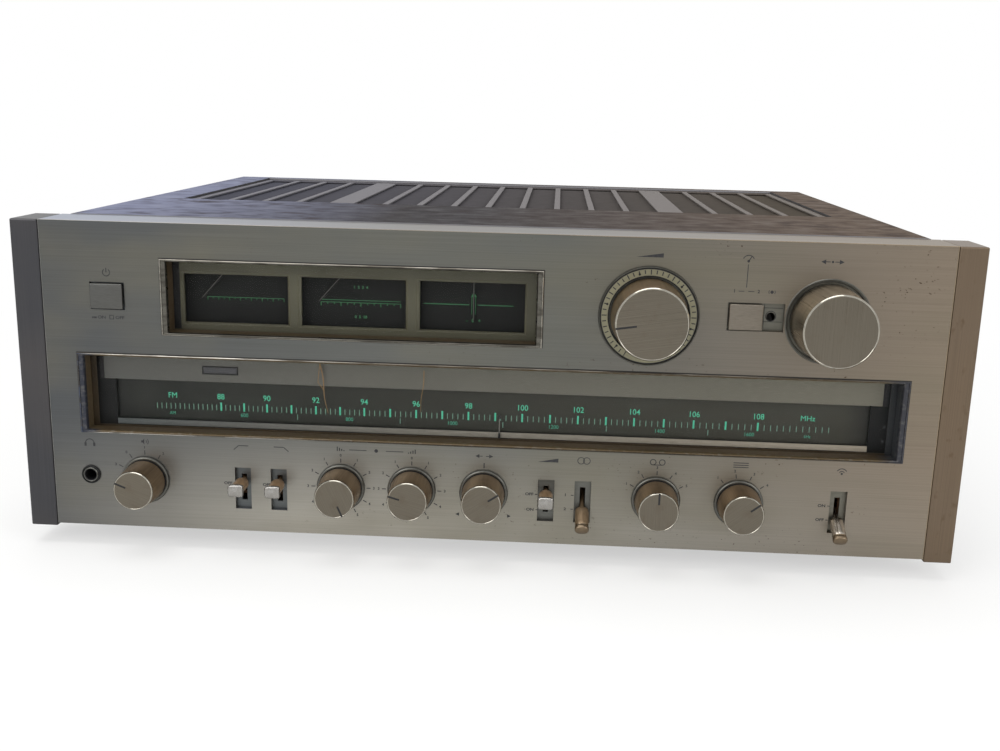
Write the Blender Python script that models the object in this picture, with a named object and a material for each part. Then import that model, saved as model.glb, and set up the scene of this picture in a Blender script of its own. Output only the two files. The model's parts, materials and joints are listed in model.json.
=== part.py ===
"""A 1970s stereo receiver: aluminium front with two windows, knobs and bat levers, steel case behind.

Metres, +Z up, front towards -Y. Places inside the model are given as (x, depth, height): depth runs
back from the front face of the panel, and height runs up from the surface that the feet stand on.
"""

import math

import bmesh
import bpy
from mathutils import Matrix, Vector

# Clearances and stock
GAP = 0.0003
OVERRUN = 0.004
STEEL = 0.0012
BOARD_THICKNESS = 0.0016

# Front panel and its end cheeks
PANEL_WIDTH = 0.470
PANEL_THICKNESS = 0.0025
FRAME_DEPTH = 0.030
PANEL_LIFT = 0.012
CONTROL_ROW = 0.0528
DIAL_ROW = 0.0440
UPPER_ROW = 0.0702
CHEEK_WIDTH = 0.0147
CHEEK_DROP = 0.0016
CHEEK_PROUD = 0.0005
CHEEK_ROUNDING = 0.0008

# Case behind the panel
CASE_DEPTH = 0.369
COVER_STEP = 0.0034
COVER_RISE = 0.0005
COVER_ROUNDING = 0.0025
CHASSIS_LIP = 0.010
REAR_RECESS = 0.002
FOOT_RADIUS = 0.014
FOOT_INSET = 0.040
FOOT_SETBACK = 0.055

# Vent field in the cover
VENT_FRONT = 0.142
VENT_END_MARGIN = 0.009
VENT_SIDE_MARGIN = 0.0265
VENT_LAP = 0.005
VENT_BAR = 0.0039
VENT_GROUP_BAR = 0.016
VENT_GROUPS = (4, 9, 4)
VENT_ROWS = 5
VENT_ROW_BAR = 0.004
VENT_BORDER = 0.005

# Bezels, panes and the trays behind them
RECESS = 0.012
BEZEL_SIDE = 0.0036
BEZEL_EDGE = 0.0016
BEZEL_PROUD = 0.0009
SLEEVE_WALL = 0.0008
PANE = 0.0015
TRAY_CLEARANCE = 0.001
TRAY_WALL = 0.0015
TRAY_FLOOR = 0.0015

# Meter window, with three meters
METER_CENTRE_SHARE = -0.1527
METER_WIDTH_SHARE = 0.4266
METER_RISE = 0.0109
METER_BEZEL_HEIGHT = 0.0405
METER_SIDE_MARGIN = 0.0052
METER_SPACING = 0.0065
METER_LOW_MARGIN = 0.0035
METER_HIGH_MARGIN = 0.0074
METER_VIEW_MARGIN = 0.001
METER_CASE_WALL = 0.0012
METER_CASE_DEPTH = 0.022
METER_FACE_DEPTH = 0.0045
NEEDLE_LENGTH = 0.029
NEEDLE_WIDTH = 0.0008
NEEDLE_THICKNESS = 0.0005
NEEDLE_HUB_RADIUS = 0.0028
NEEDLE_PIN_RADIUS = 0.0009
NEEDLE_PIVOT_RISE = 0.0076
NEEDLE_REST_ANGLE = math.radians(43.4)

# Dial window
DIAL_SIDE_MARGIN = 0.0163
HEADER_THICKNESS = 0.0008
HEADER_HEIGHT = 0.0150
HEADER_END = 0.0037
LAMP_WIDTH = 0.0197
LAMP_HEIGHT = 0.0045
LAMP_RISE = 0.0043
LAMP_CENTRE_SHARE = -0.309
PILLAR_WIDTH = 0.0117
RAIL_HEIGHT = 0.0030
SLOT_HEIGHT = 0.0020
SCALE_THICKNESS = 0.0020
SCALE_LAP = 0.0012
POINTER_WIDTH = 0.0008
POINTER_THICKNESS = 0.0008
POINTER_CLEARANCE = 0.0006
POINTER_HEIGHT = 0.0151
POINTER_REST_SHARE = 0.0145
POINTER_END_SHARE = 0.3085
POINTER_END_CLEARANCE = 0.0005
CARRIAGE_WIDTH = 0.009
CARRIAGE_THICKNESS = 0.0028

# Dial cord and the wheels that it runs on
CORD_RADIUS = 0.0005
CORD_DEPTH = 0.024
CORD_DROP = 0.0074
CORD_SHIFT = 0.0018
IDLER_RADIUS = 0.006
IDLER_X_SHARE = -0.404
DRUM_RADIUS = 0.028
DRUM_X_SHARE = 0.366
DRIVE_RADIUS = 0.006
WHEEL_WIDTH = 0.0034
WHEEL_FLANGE = 0.0009
WHEEL_RIM = 0.0008
WHEEL_PIN_RADIUS = 0.0015
WHEEL_SHAFT_RADIUS = 0.003
WHEEL_SHOULDER = 0.0025

# Tuning shaft
TUNING_X_SHARE = 0.370
SHAFT_RADIUS = 0.003
BUSH_WALL = 0.0027
BUSH_LENGTH = 0.014
DRIVE_LENGTH = 0.008
FLYWHEEL_RADIUS = 0.020
FLYWHEEL_THICKNESS = 0.012
FLYWHEEL_DEPTH = 0.045

# Knobs
SMALL_KNOB_X_SHARES = {
    "speakers_knob": -0.3926,
    "bass_knob": -0.1649,
    "treble_knob": -0.0832,
    "balance_knob": -0.0006,
    "tape_knob": 0.1951,
    "function_knob": 0.2881,
}
KNOB_REST_DEGREES = {
    "speakers_knob": -68,
    "bass_knob": 156,
    "treble_knob": -74,
    "balance_knob": 56,
    "tape_knob": 0,
    "function_knob": 52,
    "volume_knob": -98.5,
}
LOWER_CONTROLS_SHARE = 0.517
SMALL_KNOB_LENGTH = 0.020
SMALL_KNOB_FACE_RADIUS = 0.0106
SMALL_KNOB_BODY_RADIUS = 0.0114
SMALL_SKIRT_RADIUS = 0.0130
SMALL_SKIRT_THICKNESS = 0.0015
KNOB_GROOVE = 0.0006
KNOB_CHAMFER = 0.0007
KNOB_STAND_OFF = 0.0005
SPINDLE_RADIUS = 0.003
SPINDLE_DEPTH = 0.0175
SPINDLE_CLEARANCE = 0.001
POINTER_LINE_WIDTH = 0.0009
POINTER_LINE_DEPTH = 0.00025
POINTER_LINE_SHARE = 0.58
VOLUME_FROM_TUNING = 0.0912
VOLUME_LENGTH = 0.0246
VOLUME_FACE_RADIUS = 0.0186
VOLUME_BASE_RADIUS = 0.0199
VOLUME_RING_RADIUS = 0.02595
VOLUME_RING_BORE = 0.0206
VOLUME_RING_MARGIN = 0.00385
VOLUME_RING_THICKNESS = 0.0010
VOLUME_RING_RIM = 0.0007
VOLUME_COLLAR_WALL = 0.0008
TUNING_LENGTH = 0.028
TUNING_FACE_RADIUS = 0.01865
TUNING_BASE_RADIUS = 0.0196
TUNING_SINK = 0.001
TUNING_HOLE_RADIUS = 0.0210
TUNING_SOCKET_DEPTH = 0.010

# Push buttons
POWER_X_SHARE = -0.4264
BUTTON_FROM_TUNING = 0.0420
BUTTON_WIDTH = 0.0172
BUTTON_HEIGHT = 0.0134
BUTTON_RISE = 0.0012
BUTTON_PROUD = 0.0020
BUTTON_SINK = 0.0002
BUTTON_CLEARANCE = 0.0006
BUTTON_TRAVEL = 0.0023
BUTTON_CORNER = 0.0006
STEM_WIDTH = 0.009
STEM_HEIGHT = 0.007
STEM_DEPTH = 0.016
SWITCH_WALL = 0.0025
SWITCH_BACK = 0.0012
SLOT_WALL = 0.0014
PLATE_HOLE_RADIUS = 0.0023
PLATE_HOLE_INSET = 0.0064

# Bat levers
LEVER_X_SHARES = {
    "low_filter_lever": -0.2787,
    "high_filter_lever": -0.2370,
    "loudness_lever": 0.0706,
    "mode_lever": 0.1123,
    "muting_lever": 0.3994,
}
LEVERS_DOWN = ("mode_lever", "muting_lever")
LEVER_SLOT_SHARE = 0.462
LEVER_SLOT_WIDTH = 0.0088
LEVER_SLOT_HEIGHT = 0.0234
LEVER_PLATE_SLOT_WIDTH = 0.0029
LEVER_PLATE_SLOT_HEIGHT = 0.0148
LEVER_PIVOT_RISE = 0.0036
LEVER_PIVOT_DEPTH = 0.016
LEVER_THROW = math.radians(29)
LEVER_LENGTH = 0.032
LEVER_NECK = 0.0155
LEVER_BLADE_WIDTH = 0.0022
LEVER_BLADE_HEIGHT = 0.0040
LEVER_BAT_WIDTH = 0.0074
LEVER_BAT_HEIGHT = 0.0052
LEVER_CAP_WIDTH = 0.0082
LEVER_CAP_HEIGHT = 0.0066
LEVER_CAP_THICKNESS = 0.0016
LEVER_HUB_RADIUS = 0.0030
LEVER_PIN_RADIUS = 0.0012
LEVER_PIN_LENGTH = 0.0070
LEVER_SWITCH_WIDTH = 0.0104
LEVER_SWITCH_FRONT = 0.008
LEVER_SWITCH_ABOVE = 0.005
LEVER_SWITCH_BELOW = 0.009

# Headphone socket
JACK_X_SHARE = -0.4568
JACK_RISE = 0.0018
JACK_NUT_RADIUS = 0.0051
JACK_NUT_THICKNESS = 0.0012
JACK_BARREL_RADIUS = 0.0041
JACK_BORE_RADIUS = 0.0031
JACK_BODY_WIDTH = 0.014
JACK_BODY_DEPTH = 0.026
JACK_BORE_DEPTH = 0.024

# Control board
CONTROL_BOARD_DEPTH = 0.0223
CONTROL_BOARD_HEIGHT = 0.0345
CONTROL_BOARD_LEFT_MARGIN = 0.013348
CONTROL_BOARD_RIGHT_MARGIN = 0.010152
POT_RADIUS = 0.008
VOLUME_POT_RADIUS = 0.011
VOLUME_BOARD_DEPTH = 0.020
VOLUME_BOARD_HEIGHT = 0.026

# Things inside the case
GANG_WIDTH = 0.050
GANG_DEPTH = 0.050
GANG_FRONT = 0.046
GANG_ABOVE = 0.026
GANG_BELOW = 0.024
GANG_LEG = 0.008
GANG_BUSH_DEPTH = 0.010
TRANSFORMER_WIDTH = 0.084
TRANSFORMER_DEPTH = 0.072
TRANSFORMER_HEIGHT = 0.074
TRANSFORMER_BELL = 0.014
TRANSFORMER_X_SHARE = -0.340
TRANSFORMER_REAR_ROOM = 0.075
MAIN_BOARD_WIDTH = 0.250
MAIN_BOARD_REAR_ROOM = 0.025
MAIN_BOARD_FRONT = 0.120
MAIN_BOARD_X_SHARE = 0.150
MAIN_BOARD_RISE = 0.010
MAIN_BOARD_LEG = 0.008
CAPACITOR_RADIUS = 0.0175
CAPACITOR_HEIGHT = 0.062
HEAT_SINK_WIDTH = 0.200
HEAT_SINK_DEPTH = 0.036
HEAT_SINK_HEIGHT = 0.085
HEAT_SINK_X_SHARE = 0.120
HEAT_SINK_REAR_ROOM = 0.015
HEAT_SINK_BASE = 0.006
HEAT_SINK_FINS = 11
HEAT_SINK_FIN = 0.0024

# Rear fittings
TERMINAL_DEPTH = 0.010
SPEAKER_BLOCK_WIDTH = 0.112
SPEAKER_BLOCK_HEIGHT = 0.040
SPEAKER_BLOCK_X_SHARE = -0.170
SPEAKER_BLOCK_RISE = 0.030
SPEAKER_TABS = 4
SPEAKER_TAB_WIDTH = 0.014
SPEAKER_TAB_HEIGHT = 0.012
SPEAKER_TAB_PROUD = 0.0035
JACK_PANEL_WIDTH = 0.130
JACK_PANEL_HEIGHT = 0.046
JACK_PANEL_THICKNESS = 0.0016
JACK_PANEL_X_SHARE = 0.150
JACK_PANEL_RISE = 0.030
PHONO_COLUMNS = 6
PHONO_ROWS = 2
PHONO_RADIUS = 0.0042
PHONO_LENGTH = 0.009
AERIAL_BLOCK_WIDTH = 0.060
AERIAL_BLOCK_HEIGHT = 0.020
AERIAL_BLOCK_X_SHARE = 0.340
AERIAL_BLOCK_RISE = 0.100
AERIAL_SCREWS = 5
AERIAL_SCREW_RADIUS = 0.0030
AERIAL_SCREW_PROUD = 0.0030
ANTENNA_X_SHARE = 0.160
ANTENNA_RISE = 0.138
ANTENNA_STAND_OFF = 0.012
ANTENNA_LENGTH = 0.150
ANTENNA_RADIUS = 0.0055
ANTENNA_KNUCKLE_RADIUS = 0.0048
ANTENNA_PIN_RADIUS = 0.0015
EAR_THICKNESS = 0.002
EAR_WIDTH = 0.012
EAR_END = 0.006
GLAND_X_SHARE = -0.420
GLAND_RISE = 0.028
GLAND_RADIUS = 0.0070
GLAND_FLANGE_RADIUS = 0.0095
GLAND_FLANGE = 0.0025
GLAND_BORE_RADIUS = 0.0036
GLAND_PROUD = 0.009

# Worked out from the sizes above
panel_half = PANEL_WIDTH / 2
panel_low = PANEL_LIFT
dial_low = panel_low + CONTROL_ROW
dial_high = dial_low + DIAL_ROW
panel_high = dial_high + UPPER_ROW
lower_controls = panel_low + CONTROL_ROW * LOWER_CONTROLS_SHARE
upper_controls = dial_high + VOLUME_RING_MARGIN + VOLUME_RING_RADIUS
button_height = upper_controls + BUTTON_RISE
plate_front = PANEL_THICKNESS + GAP
plate_back = plate_front + STEEL
behind_plate = plate_back + GAP
chassis_low = panel_low + PANEL_THICKNESS + GAP
chassis_floor = chassis_low + STEEL
floor_seat = chassis_floor + GAP
cover_half = panel_half - COVER_STEP
cover_high = panel_high + COVER_RISE
cover_under = cover_high - STEEL
case_half = cover_half - STEEL - GAP
rear_face = CASE_DEPTH - REAR_RECESS
rear_front = rear_face - STEEL
heat_sink_front = rear_front - HEAT_SINK_REAR_ROOM - HEAT_SINK_DEPTH
cord_height = dial_low + BEZEL_EDGE - CORD_DROP
drum_x = PANEL_WIDTH * DRUM_X_SHARE
drum_height = cord_height + DRUM_RADIUS
tuning_x = PANEL_WIDTH * TUNING_X_SHARE
volume_x = tuning_x - VOLUME_FROM_TUNING
meter_button_x = tuning_x - BUTTON_FROM_TUNING
power_x = PANEL_WIDTH * POWER_X_SHARE
idler_x = PANEL_WIDTH * IDLER_X_SHARE
idler_height = cord_height + IDLER_RADIUS
lever_slot_height = panel_low + CONTROL_ROW * LEVER_SLOT_SHARE
lever_pivot_height = lever_slot_height + LEVER_PIVOT_RISE
jack_x = PANEL_WIDTH * JACK_X_SHARE
jack_height = lower_controls + JACK_RISE
antenna_depth = rear_face + ANTENNA_STAND_OFF
rear_reach = antenna_depth + EAR_END
front_y = (TUNING_LENGTH - rear_reach) / 2

for old in list(bpy.data.objects):
    bpy.data.objects.remove(old, do_unlink=True)


def linear(code):
    """A hex colour as linear red, green and blue."""
    parts = [int(code[i : i + 2], 16) / 255 for i in (0, 2, 4)]
    return [p / 12.92 if p <= 0.04045 else ((p + 0.055) / 1.055) ** 2.4 for p in parts]


def finish(name, code, roughness, metallic=0.0):
    made = bpy.data.materials.new(name)
    made.use_nodes = True
    shader = made.node_tree.nodes["Principled BSDF"]
    shader.inputs["Base Color"].default_value = (*linear(code), 1.0)
    shader.inputs["Roughness"].default_value = roughness
    shader.inputs["Metallic"].default_value = metallic
    return made


PANEL_ALUMINIUM = finish("panel_aluminium", "9a9890", 0.35, 1.0)
CHEEK_ALUMINIUM = finish("cheek_aluminium", "6e6a64", 0.45, 1.0)
KNOB_ALUMINIUM = finish("knob_aluminium", "a8a49c", 0.25, 1.0)
PAINTED_STEEL = finish("painted_steel", "6b6866", 0.5)
ZINC_STEEL = finish("zinc_steel", "7d868c", 0.4, 1.0)
CHROME = finish("chrome", "b4b4b4", 0.15, 1.0)
CLEAR_PANE = finish("clear_pane", "c8d0cc", 0.05)
MASK_PLASTIC = finish("mask_plastic", "55523f", 0.6)
DARK_PLASTIC = finish("dark_plastic", "2a2b2c", 0.5)
SCALE_PRINT = finish("scale_print", "3c3f3a", 0.3)
NEEDLE_PAINT = finish("needle_paint", "c9c7be", 0.5)
CREAM_RING = finish("cream_ring", "a39a80", 0.4)
RUBBER = finish("rubber", "1e1e1e", 0.8)
PHENOLIC = finish("phenolic", "6a4c2a", 0.6)
CORD = finish("cord", "b8b09a", 0.8)
NYLON = finish("nylon", "d8d4c8", 0.5)


def place(x, depth, height):
    return Vector((x, front_y + depth, height))


def add_object(name, bm, look, origin=None):
    """Turns a bmesh in world coordinates into an object whose origin lies at the place given."""
    bmesh.ops.recalc_face_normals(bm, faces=bm.faces)
    start = Vector(origin) if origin is not None else Vector()
    bmesh.ops.translate(bm, verts=bm.verts, vec=-start)
    mesh = bpy.data.meshes.new(name)
    bm.to_mesh(mesh)
    bm.free()
    mesh.materials.append(look)
    made = bpy.data.objects.new(name, mesh)
    made.location = start
    bpy.context.scene.collection.objects.link(made)
    return made


def box(name, low, high, look=ZINC_STEEL, origin=None):
    """A block between two places, each (x, depth, height)."""
    first, last = place(*low), place(*high)
    bm = bmesh.new()
    bmesh.ops.create_cube(bm, size=1.0)
    bmesh.ops.scale(bm, vec=last - first, verts=bm.verts)
    bmesh.ops.translate(bm, vec=(first + last) / 2, verts=bm.verts)
    return add_object(name, bm, look, origin)


def turned(name, centre, axis, profile, look=ZINC_STEEL, sides=24, closed=False, origin=None):
    """A turned solid. Each profile point is (distance along the axis from the centre, radius)."""
    along = Vector([letter == axis for letter in "XYZ"])
    across = Vector((0, 0, 1)) if axis != "Z" else Vector((1, 0, 0))
    side = along.cross(across)
    start = place(*centre)
    bm = bmesh.new()
    rings = []
    for distance, radius in profile:
        middle = start + along * distance
        if radius == 0:
            rings.append([bm.verts.new(middle)])
            continue
        turns = [2 * math.pi * i / sides for i in range(sides)]
        points = [middle + radius * (across * math.cos(t) + side * math.sin(t)) for t in turns]
        rings.append([bm.verts.new(point) for point in points])
    pairs = list(zip(rings, rings[1:]))
    if closed:
        pairs.append((rings[-1], rings[0]))
    for first, second in pairs:
        for i in range(sides):
            j = (i + 1) % sides
            corners = [first[i % len(first)], first[j % len(first)]]
            corners += [second[j % len(second)], second[i % len(second)]]
            bm.faces.new(list(dict.fromkeys(corners)))
    made = add_object(name, bm, look, origin)
    made.data.shade_smooth()
    made.data.set_sharp_from_angle(angle=math.radians(35))
    return made


def extruded(name, outline, front, back, look, origin=None):
    """An outline of (x, height) points, run from one depth to another."""
    bm = bmesh.new()
    first = [bm.verts.new(place(x, front, height)) for x, height in outline]
    second = [bm.verts.new(place(x, back, height)) for x, height in outline]
    bm.faces.new(first)
    bm.faces.new(second)
    for i in range(len(outline)):
        j = (i + 1) % len(outline)
        bm.faces.new((first[i], first[j], second[j], second[i]))
    return add_object(name, bm, look, origin)


def rounded(low, high, radius, steps=3):
    """A rectangle's outline between two (x, height) corners, with its four corners rounded."""
    corners = [
        (high[0] - radius, high[1] - radius, 0),
        (low[0] + radius, high[1] - radius, 1),
        (low[0] + radius, low[1] + radius, 2),
        (high[0] - radius, low[1] + radius, 3),
    ]
    points = []
    for x, height, quarter in corners:
        for i in range(steps + 1):
            turn = math.pi / 2 * (quarter + i / steps)
            points.append((x + radius * math.cos(turn), height + radius * math.sin(turn)))
    return points


def swept_frame(name, low, high, profile, look):
    """A closed frame round the rectangle low to high.

    Each profile point is (side growth, edge growth, depth).
    """
    bm = bmesh.new()
    rings = []
    for grow_x, grow_z, depth in profile:
        left, right = low[0] - grow_x, high[0] + grow_x
        bottom, top = low[1] - grow_z, high[1] + grow_z
        corners = [(left, bottom), (right, bottom), (right, top), (left, top)]
        rings.append([bm.verts.new(place(x, depth, height)) for x, height in corners])
    for first, second in zip(rings, rings[1:] + rings[:1]):
        for i in range(4):
            j = (i + 1) % 4
            bm.faces.new((first[i], first[j], second[j], second[i]))
    return add_object(name, bm, look)


def apply_tool(target, tool, operation):
    """Joins or cuts the target with a tool object, which then no longer counts as a piece."""
    modifier = target.modifiers.new(tool.name, "BOOLEAN")
    modifier.operation = operation
    modifier.object = tool
    tool.hide_render = True
    tool.display_type = "WIRE"


def cut(target, *tools):
    for tool in tools:
        apply_tool(target, tool, "DIFFERENCE")


def join(target, *tools):
    for tool in tools:
        apply_tool(target, tool, "UNION")


def hole(name, x, height, radius, front, back, sides=24):
    """A round cutter along the depth."""
    profile = [(front, 0), (front, radius), (back, radius), (back, 0)]
    return turned(name, (x, 0, height), "Y", profile, sides=sides)


def slot(name, x, height, wide, high, front, back):
    """A rectangular cutter along the depth, centred on (x, height)."""
    return box(name, (x - wide / 2, front, height - high / 2), (x + wide / 2, back, height + high / 2))


# The two windows: the rectangle that shows, as (x, height) corners
meter_x = PANEL_WIDTH * METER_CENTRE_SHARE
meter_half = PANEL_WIDTH * METER_WIDTH_SHARE / 2 - BEZEL_SIDE
meter_low = dial_high + METER_RISE + BEZEL_EDGE
meter_high = dial_high + METER_RISE + METER_BEZEL_HEIGHT - BEZEL_EDGE
meter_view = ((meter_x - meter_half, meter_low), (meter_x + meter_half, meter_high))
dial_half = panel_half - DIAL_SIDE_MARGIN - BEZEL_SIDE
dial_view = ((-dial_half, dial_low + BEZEL_EDGE), (dial_half, dial_high - BEZEL_EDGE))
meter_sleeve_end = RECESS - GAP - PANE - GAP
pointer_front = RECESS - POINTER_CLEARANCE - POINTER_THICKNESS
dial_pane_back = pointer_front - GAP
dial_sleeve_end = dial_pane_back - PANE - GAP
dial_floor = RECESS + HEADER_THICKNESS + GAP
dial_floor_back = dial_floor + TRAY_FLOOR
tray_inside = SLEEVE_WALL + TRAY_CLEARANCE


def grown(view, amount):
    """A window's rectangle made larger by one amount all round."""
    (left, bottom), (right, top) = view
    return (left - amount, bottom - amount), (right + amount, top + amount)


def view_box(name, view, front, back, look=ZINC_STEEL):
    (left, bottom), (right, top) = view
    return box(name, (left, front, bottom), (right, back, top), look)


def build_front_panel():
    low, high = (-panel_half, 0, panel_low), (panel_half, FRAME_DEPTH, panel_high)
    panel = box("front_panel", low, high, PANEL_ALUMINIUM)
    hollow = box(
        "panel_hollow",
        (-panel_half - OVERRUN, PANEL_THICKNESS, panel_low + PANEL_THICKNESS),
        (panel_half + OVERRUN, FRAME_DEPTH + OVERRUN, panel_high - PANEL_THICKNESS),
    )
    front, back = -OVERRUN, PANEL_THICKNESS + OVERRUN
    ring_way = VOLUME_RING_BORE + VOLUME_COLLAR_WALL + GAP
    cutters = [
        hollow,
        view_box("meter_opening", grown(meter_view, SLEEVE_WALL + GAP), front, back),
        view_box("dial_opening", grown(dial_view, SLEEVE_WALL + GAP), front, back),
        hole("volume_opening", volume_x, upper_controls, ring_way, front, back),
        hole("tuning_opening", tuning_x, upper_controls, TUNING_HOLE_RADIUS, front, back, 40),
        hole("jack_opening", jack_x, jack_height, JACK_BARREL_RADIUS + GAP, front, back),
    ]
    wide = BUTTON_WIDTH + 2 * BUTTON_CLEARANCE
    high = BUTTON_HEIGHT + 2 * BUTTON_CLEARANCE
    cutters.append(slot("power_opening", power_x, button_height, wide, high, front, back))
    left = meter_button_x - wide / 2
    right = tuning_x - TUNING_HOLE_RADIUS - SLOT_WALL
    cutters.append(slot("button_opening", (left + right) / 2, button_height, right - left, high, front, back))
    for name, share in SMALL_KNOB_X_SHARES.items():
        radius = SPINDLE_RADIUS + SPINDLE_CLEARANCE
        cutters.append(hole(f"{name}_opening", PANEL_WIDTH * share, lower_controls, radius, front, back, 16))
    for name, share in LEVER_X_SHARES.items():
        x = PANEL_WIDTH * share
        cutters.append(
            slot(f"{name}_opening", x, lever_slot_height, LEVER_SLOT_WIDTH, LEVER_SLOT_HEIGHT, front, back)
        )
    cut(panel, *cutters)


def build_cheeks():
    for name, side in (("left_cheek", -1), ("right_cheek", 1)):
        near = side * (panel_half + GAP)
        far = near + side * CHEEK_WIDTH
        low = (min(near, far), -CHEEK_PROUD, panel_low - CHEEK_DROP)
        high = (max(near, far), FRAME_DEPTH, panel_high)
        cheek = box(name, low, high, CHEEK_ALUMINIUM)
        edge = cheek.modifiers.new("rounding", "BEVEL")
        edge.width = CHEEK_ROUNDING
        edge.segments = 2


def build_front_bracket():
    half = panel_half - GAP
    low = panel_low + PANEL_THICKNESS + GAP
    high = panel_high - PANEL_THICKNESS - GAP
    bracket = box("front_bracket", (-half, plate_front, low), (half, FRAME_DEPTH - GAP, high), ZINC_STEEL)
    inside = half - STEEL
    hollow_end = (inside, FRAME_DEPTH + OVERRUN, high + OVERRUN)
    hollow = box("bracket_hollow", (-inside, plate_back, low - OVERRUN), hollow_end)
    cut(bracket, hollow)
    housing_back = STEM_DEPTH + BUTTON_TRAVEL + GAP + SWITCH_BACK
    wide, high = STEM_WIDTH + 2 * GAP, STEM_HEIGHT + 2 * GAP
    housing = slot(
        "power_switch",
        power_x,
        button_height,
        wide + 2 * SWITCH_WALL,
        high + 2 * SWITCH_WALL,
        (plate_front + plate_back) / 2,
        housing_back,
    )
    outer = SHAFT_RADIUS + GAP + BUSH_WALL
    bush_front = (plate_front + plate_back) / 2
    bush = hole("tuning_bush", tuning_x, upper_controls, outer, bush_front, plate_back + BUSH_LENGTH)
    join(bracket, housing, bush)
    front, back = plate_front - OVERRUN, plate_back + OVERRUN
    bush_back = plate_back + BUSH_LENGTH + OVERRUN
    cutters = [
        slot("power_way", power_x, button_height, wide, high, front, housing_back - SWITCH_BACK),
        slot("meter_way", meter_button_x, button_height, wide, high, front, back),
        hole("tuning_way", tuning_x, upper_controls, SHAFT_RADIUS + GAP, front, bush_back),
        hole("volume_way", volume_x, upper_controls, SPINDLE_RADIUS + GAP, front, back, 16),
        hole("jack_way", jack_x, jack_height, JACK_BARREL_RADIUS + GAP, front, back),
        view_box("meter_way_through", grown(meter_view, SLEEVE_WALL + GAP), front, back),
        view_box("dial_way_through", grown(dial_view, SLEEVE_WALL + GAP), front, back),
    ]
    spare_x = tuning_x - TUNING_HOLE_RADIUS - SLOT_WALL - PLATE_HOLE_INSET
    cutters.append(hole("spare_hole", spare_x, button_height, PLATE_HOLE_RADIUS, front, back, 16))
    for name, share in SMALL_KNOB_X_SHARES.items():
        radius = SPINDLE_RADIUS + GAP
        cutters.append(hole(f"{name}_way", PANEL_WIDTH * share, lower_controls, radius, front, back, 16))
    for name, share in LEVER_X_SHARES.items():
        x = PANEL_WIDTH * share
        wide, high = LEVER_PLATE_SLOT_WIDTH, LEVER_PLATE_SLOT_HEIGHT
        cutters.append(slot(f"{name}_way", x, lever_slot_height, wide, high, front, back))
    cut(bracket, *cutters)


def build_case():
    chassis = box(
        "chassis",
        (-case_half, behind_plate, chassis_low),
        (case_half, rear_front - GAP, chassis_low + CHASSIS_LIP),
        ZINC_STEEL,
    )
    hollow = box(
        "chassis_hollow",
        (-case_half + STEEL, behind_plate + STEEL, chassis_floor),
        (case_half - STEEL, rear_front - GAP - STEEL, chassis_low + CHASSIS_LIP + OVERRUN),
    )
    cut(chassis, hollow)

    front = FRAME_DEPTH + GAP
    outline = rounded((-cover_half, chassis_low - OVERRUN * 4), (cover_half, cover_high), COVER_ROUNDING)
    cover = extruded("top_cover", outline, front, CASE_DEPTH, PAINTED_STEEL)
    inner_half = cover_half - STEEL
    inner_low, inner_high = (-inner_half, chassis_low - OVERRUN * 6), (inner_half, cover_under)
    inner = rounded(inner_low, inner_high, COVER_ROUNDING - STEEL)
    tunnel = extruded("cover_tunnel", inner, front - OVERRUN, CASE_DEPTH + OVERRUN, PAINTED_STEEL)
    below = box(
        "cover_below",
        (-panel_half, 0, chassis_low - OVERRUN * 8),
        (panel_half, CASE_DEPTH + OVERRUN, chassis_low + GAP),
    )
    opening = box(
        "vent_opening",
        (-vent_half, VENT_FRONT, cover_under - OVERRUN),
        (vent_half, vent_rear, cover_high + OVERRUN),
    )
    cut(cover, tunnel, below, opening)

    feet_x = case_half - FOOT_INSET
    feet_depths = {"front": FOOT_SETBACK, "rear": CASE_DEPTH - FOOT_SETBACK}
    profile_top = chassis_low - GAP
    for row, depth in feet_depths.items():
        for side, x in (("left", -feet_x), ("right", feet_x)):
            waist = FOOT_RADIUS - FOOT_RADIUS / 7
            sides = [(0, waist), (profile_top / 2, FOOT_RADIUS), (profile_top, FOOT_RADIUS)]
            profile = [(0, 0), *sides, (profile_top, 0)]
            turned(f"foot_{row}_{side}", (x, depth, 0), "Z", profile, RUBBER)


vent_half = cover_half - VENT_SIDE_MARGIN
vent_rear = CASE_DEPTH - VENT_END_MARGIN


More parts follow.
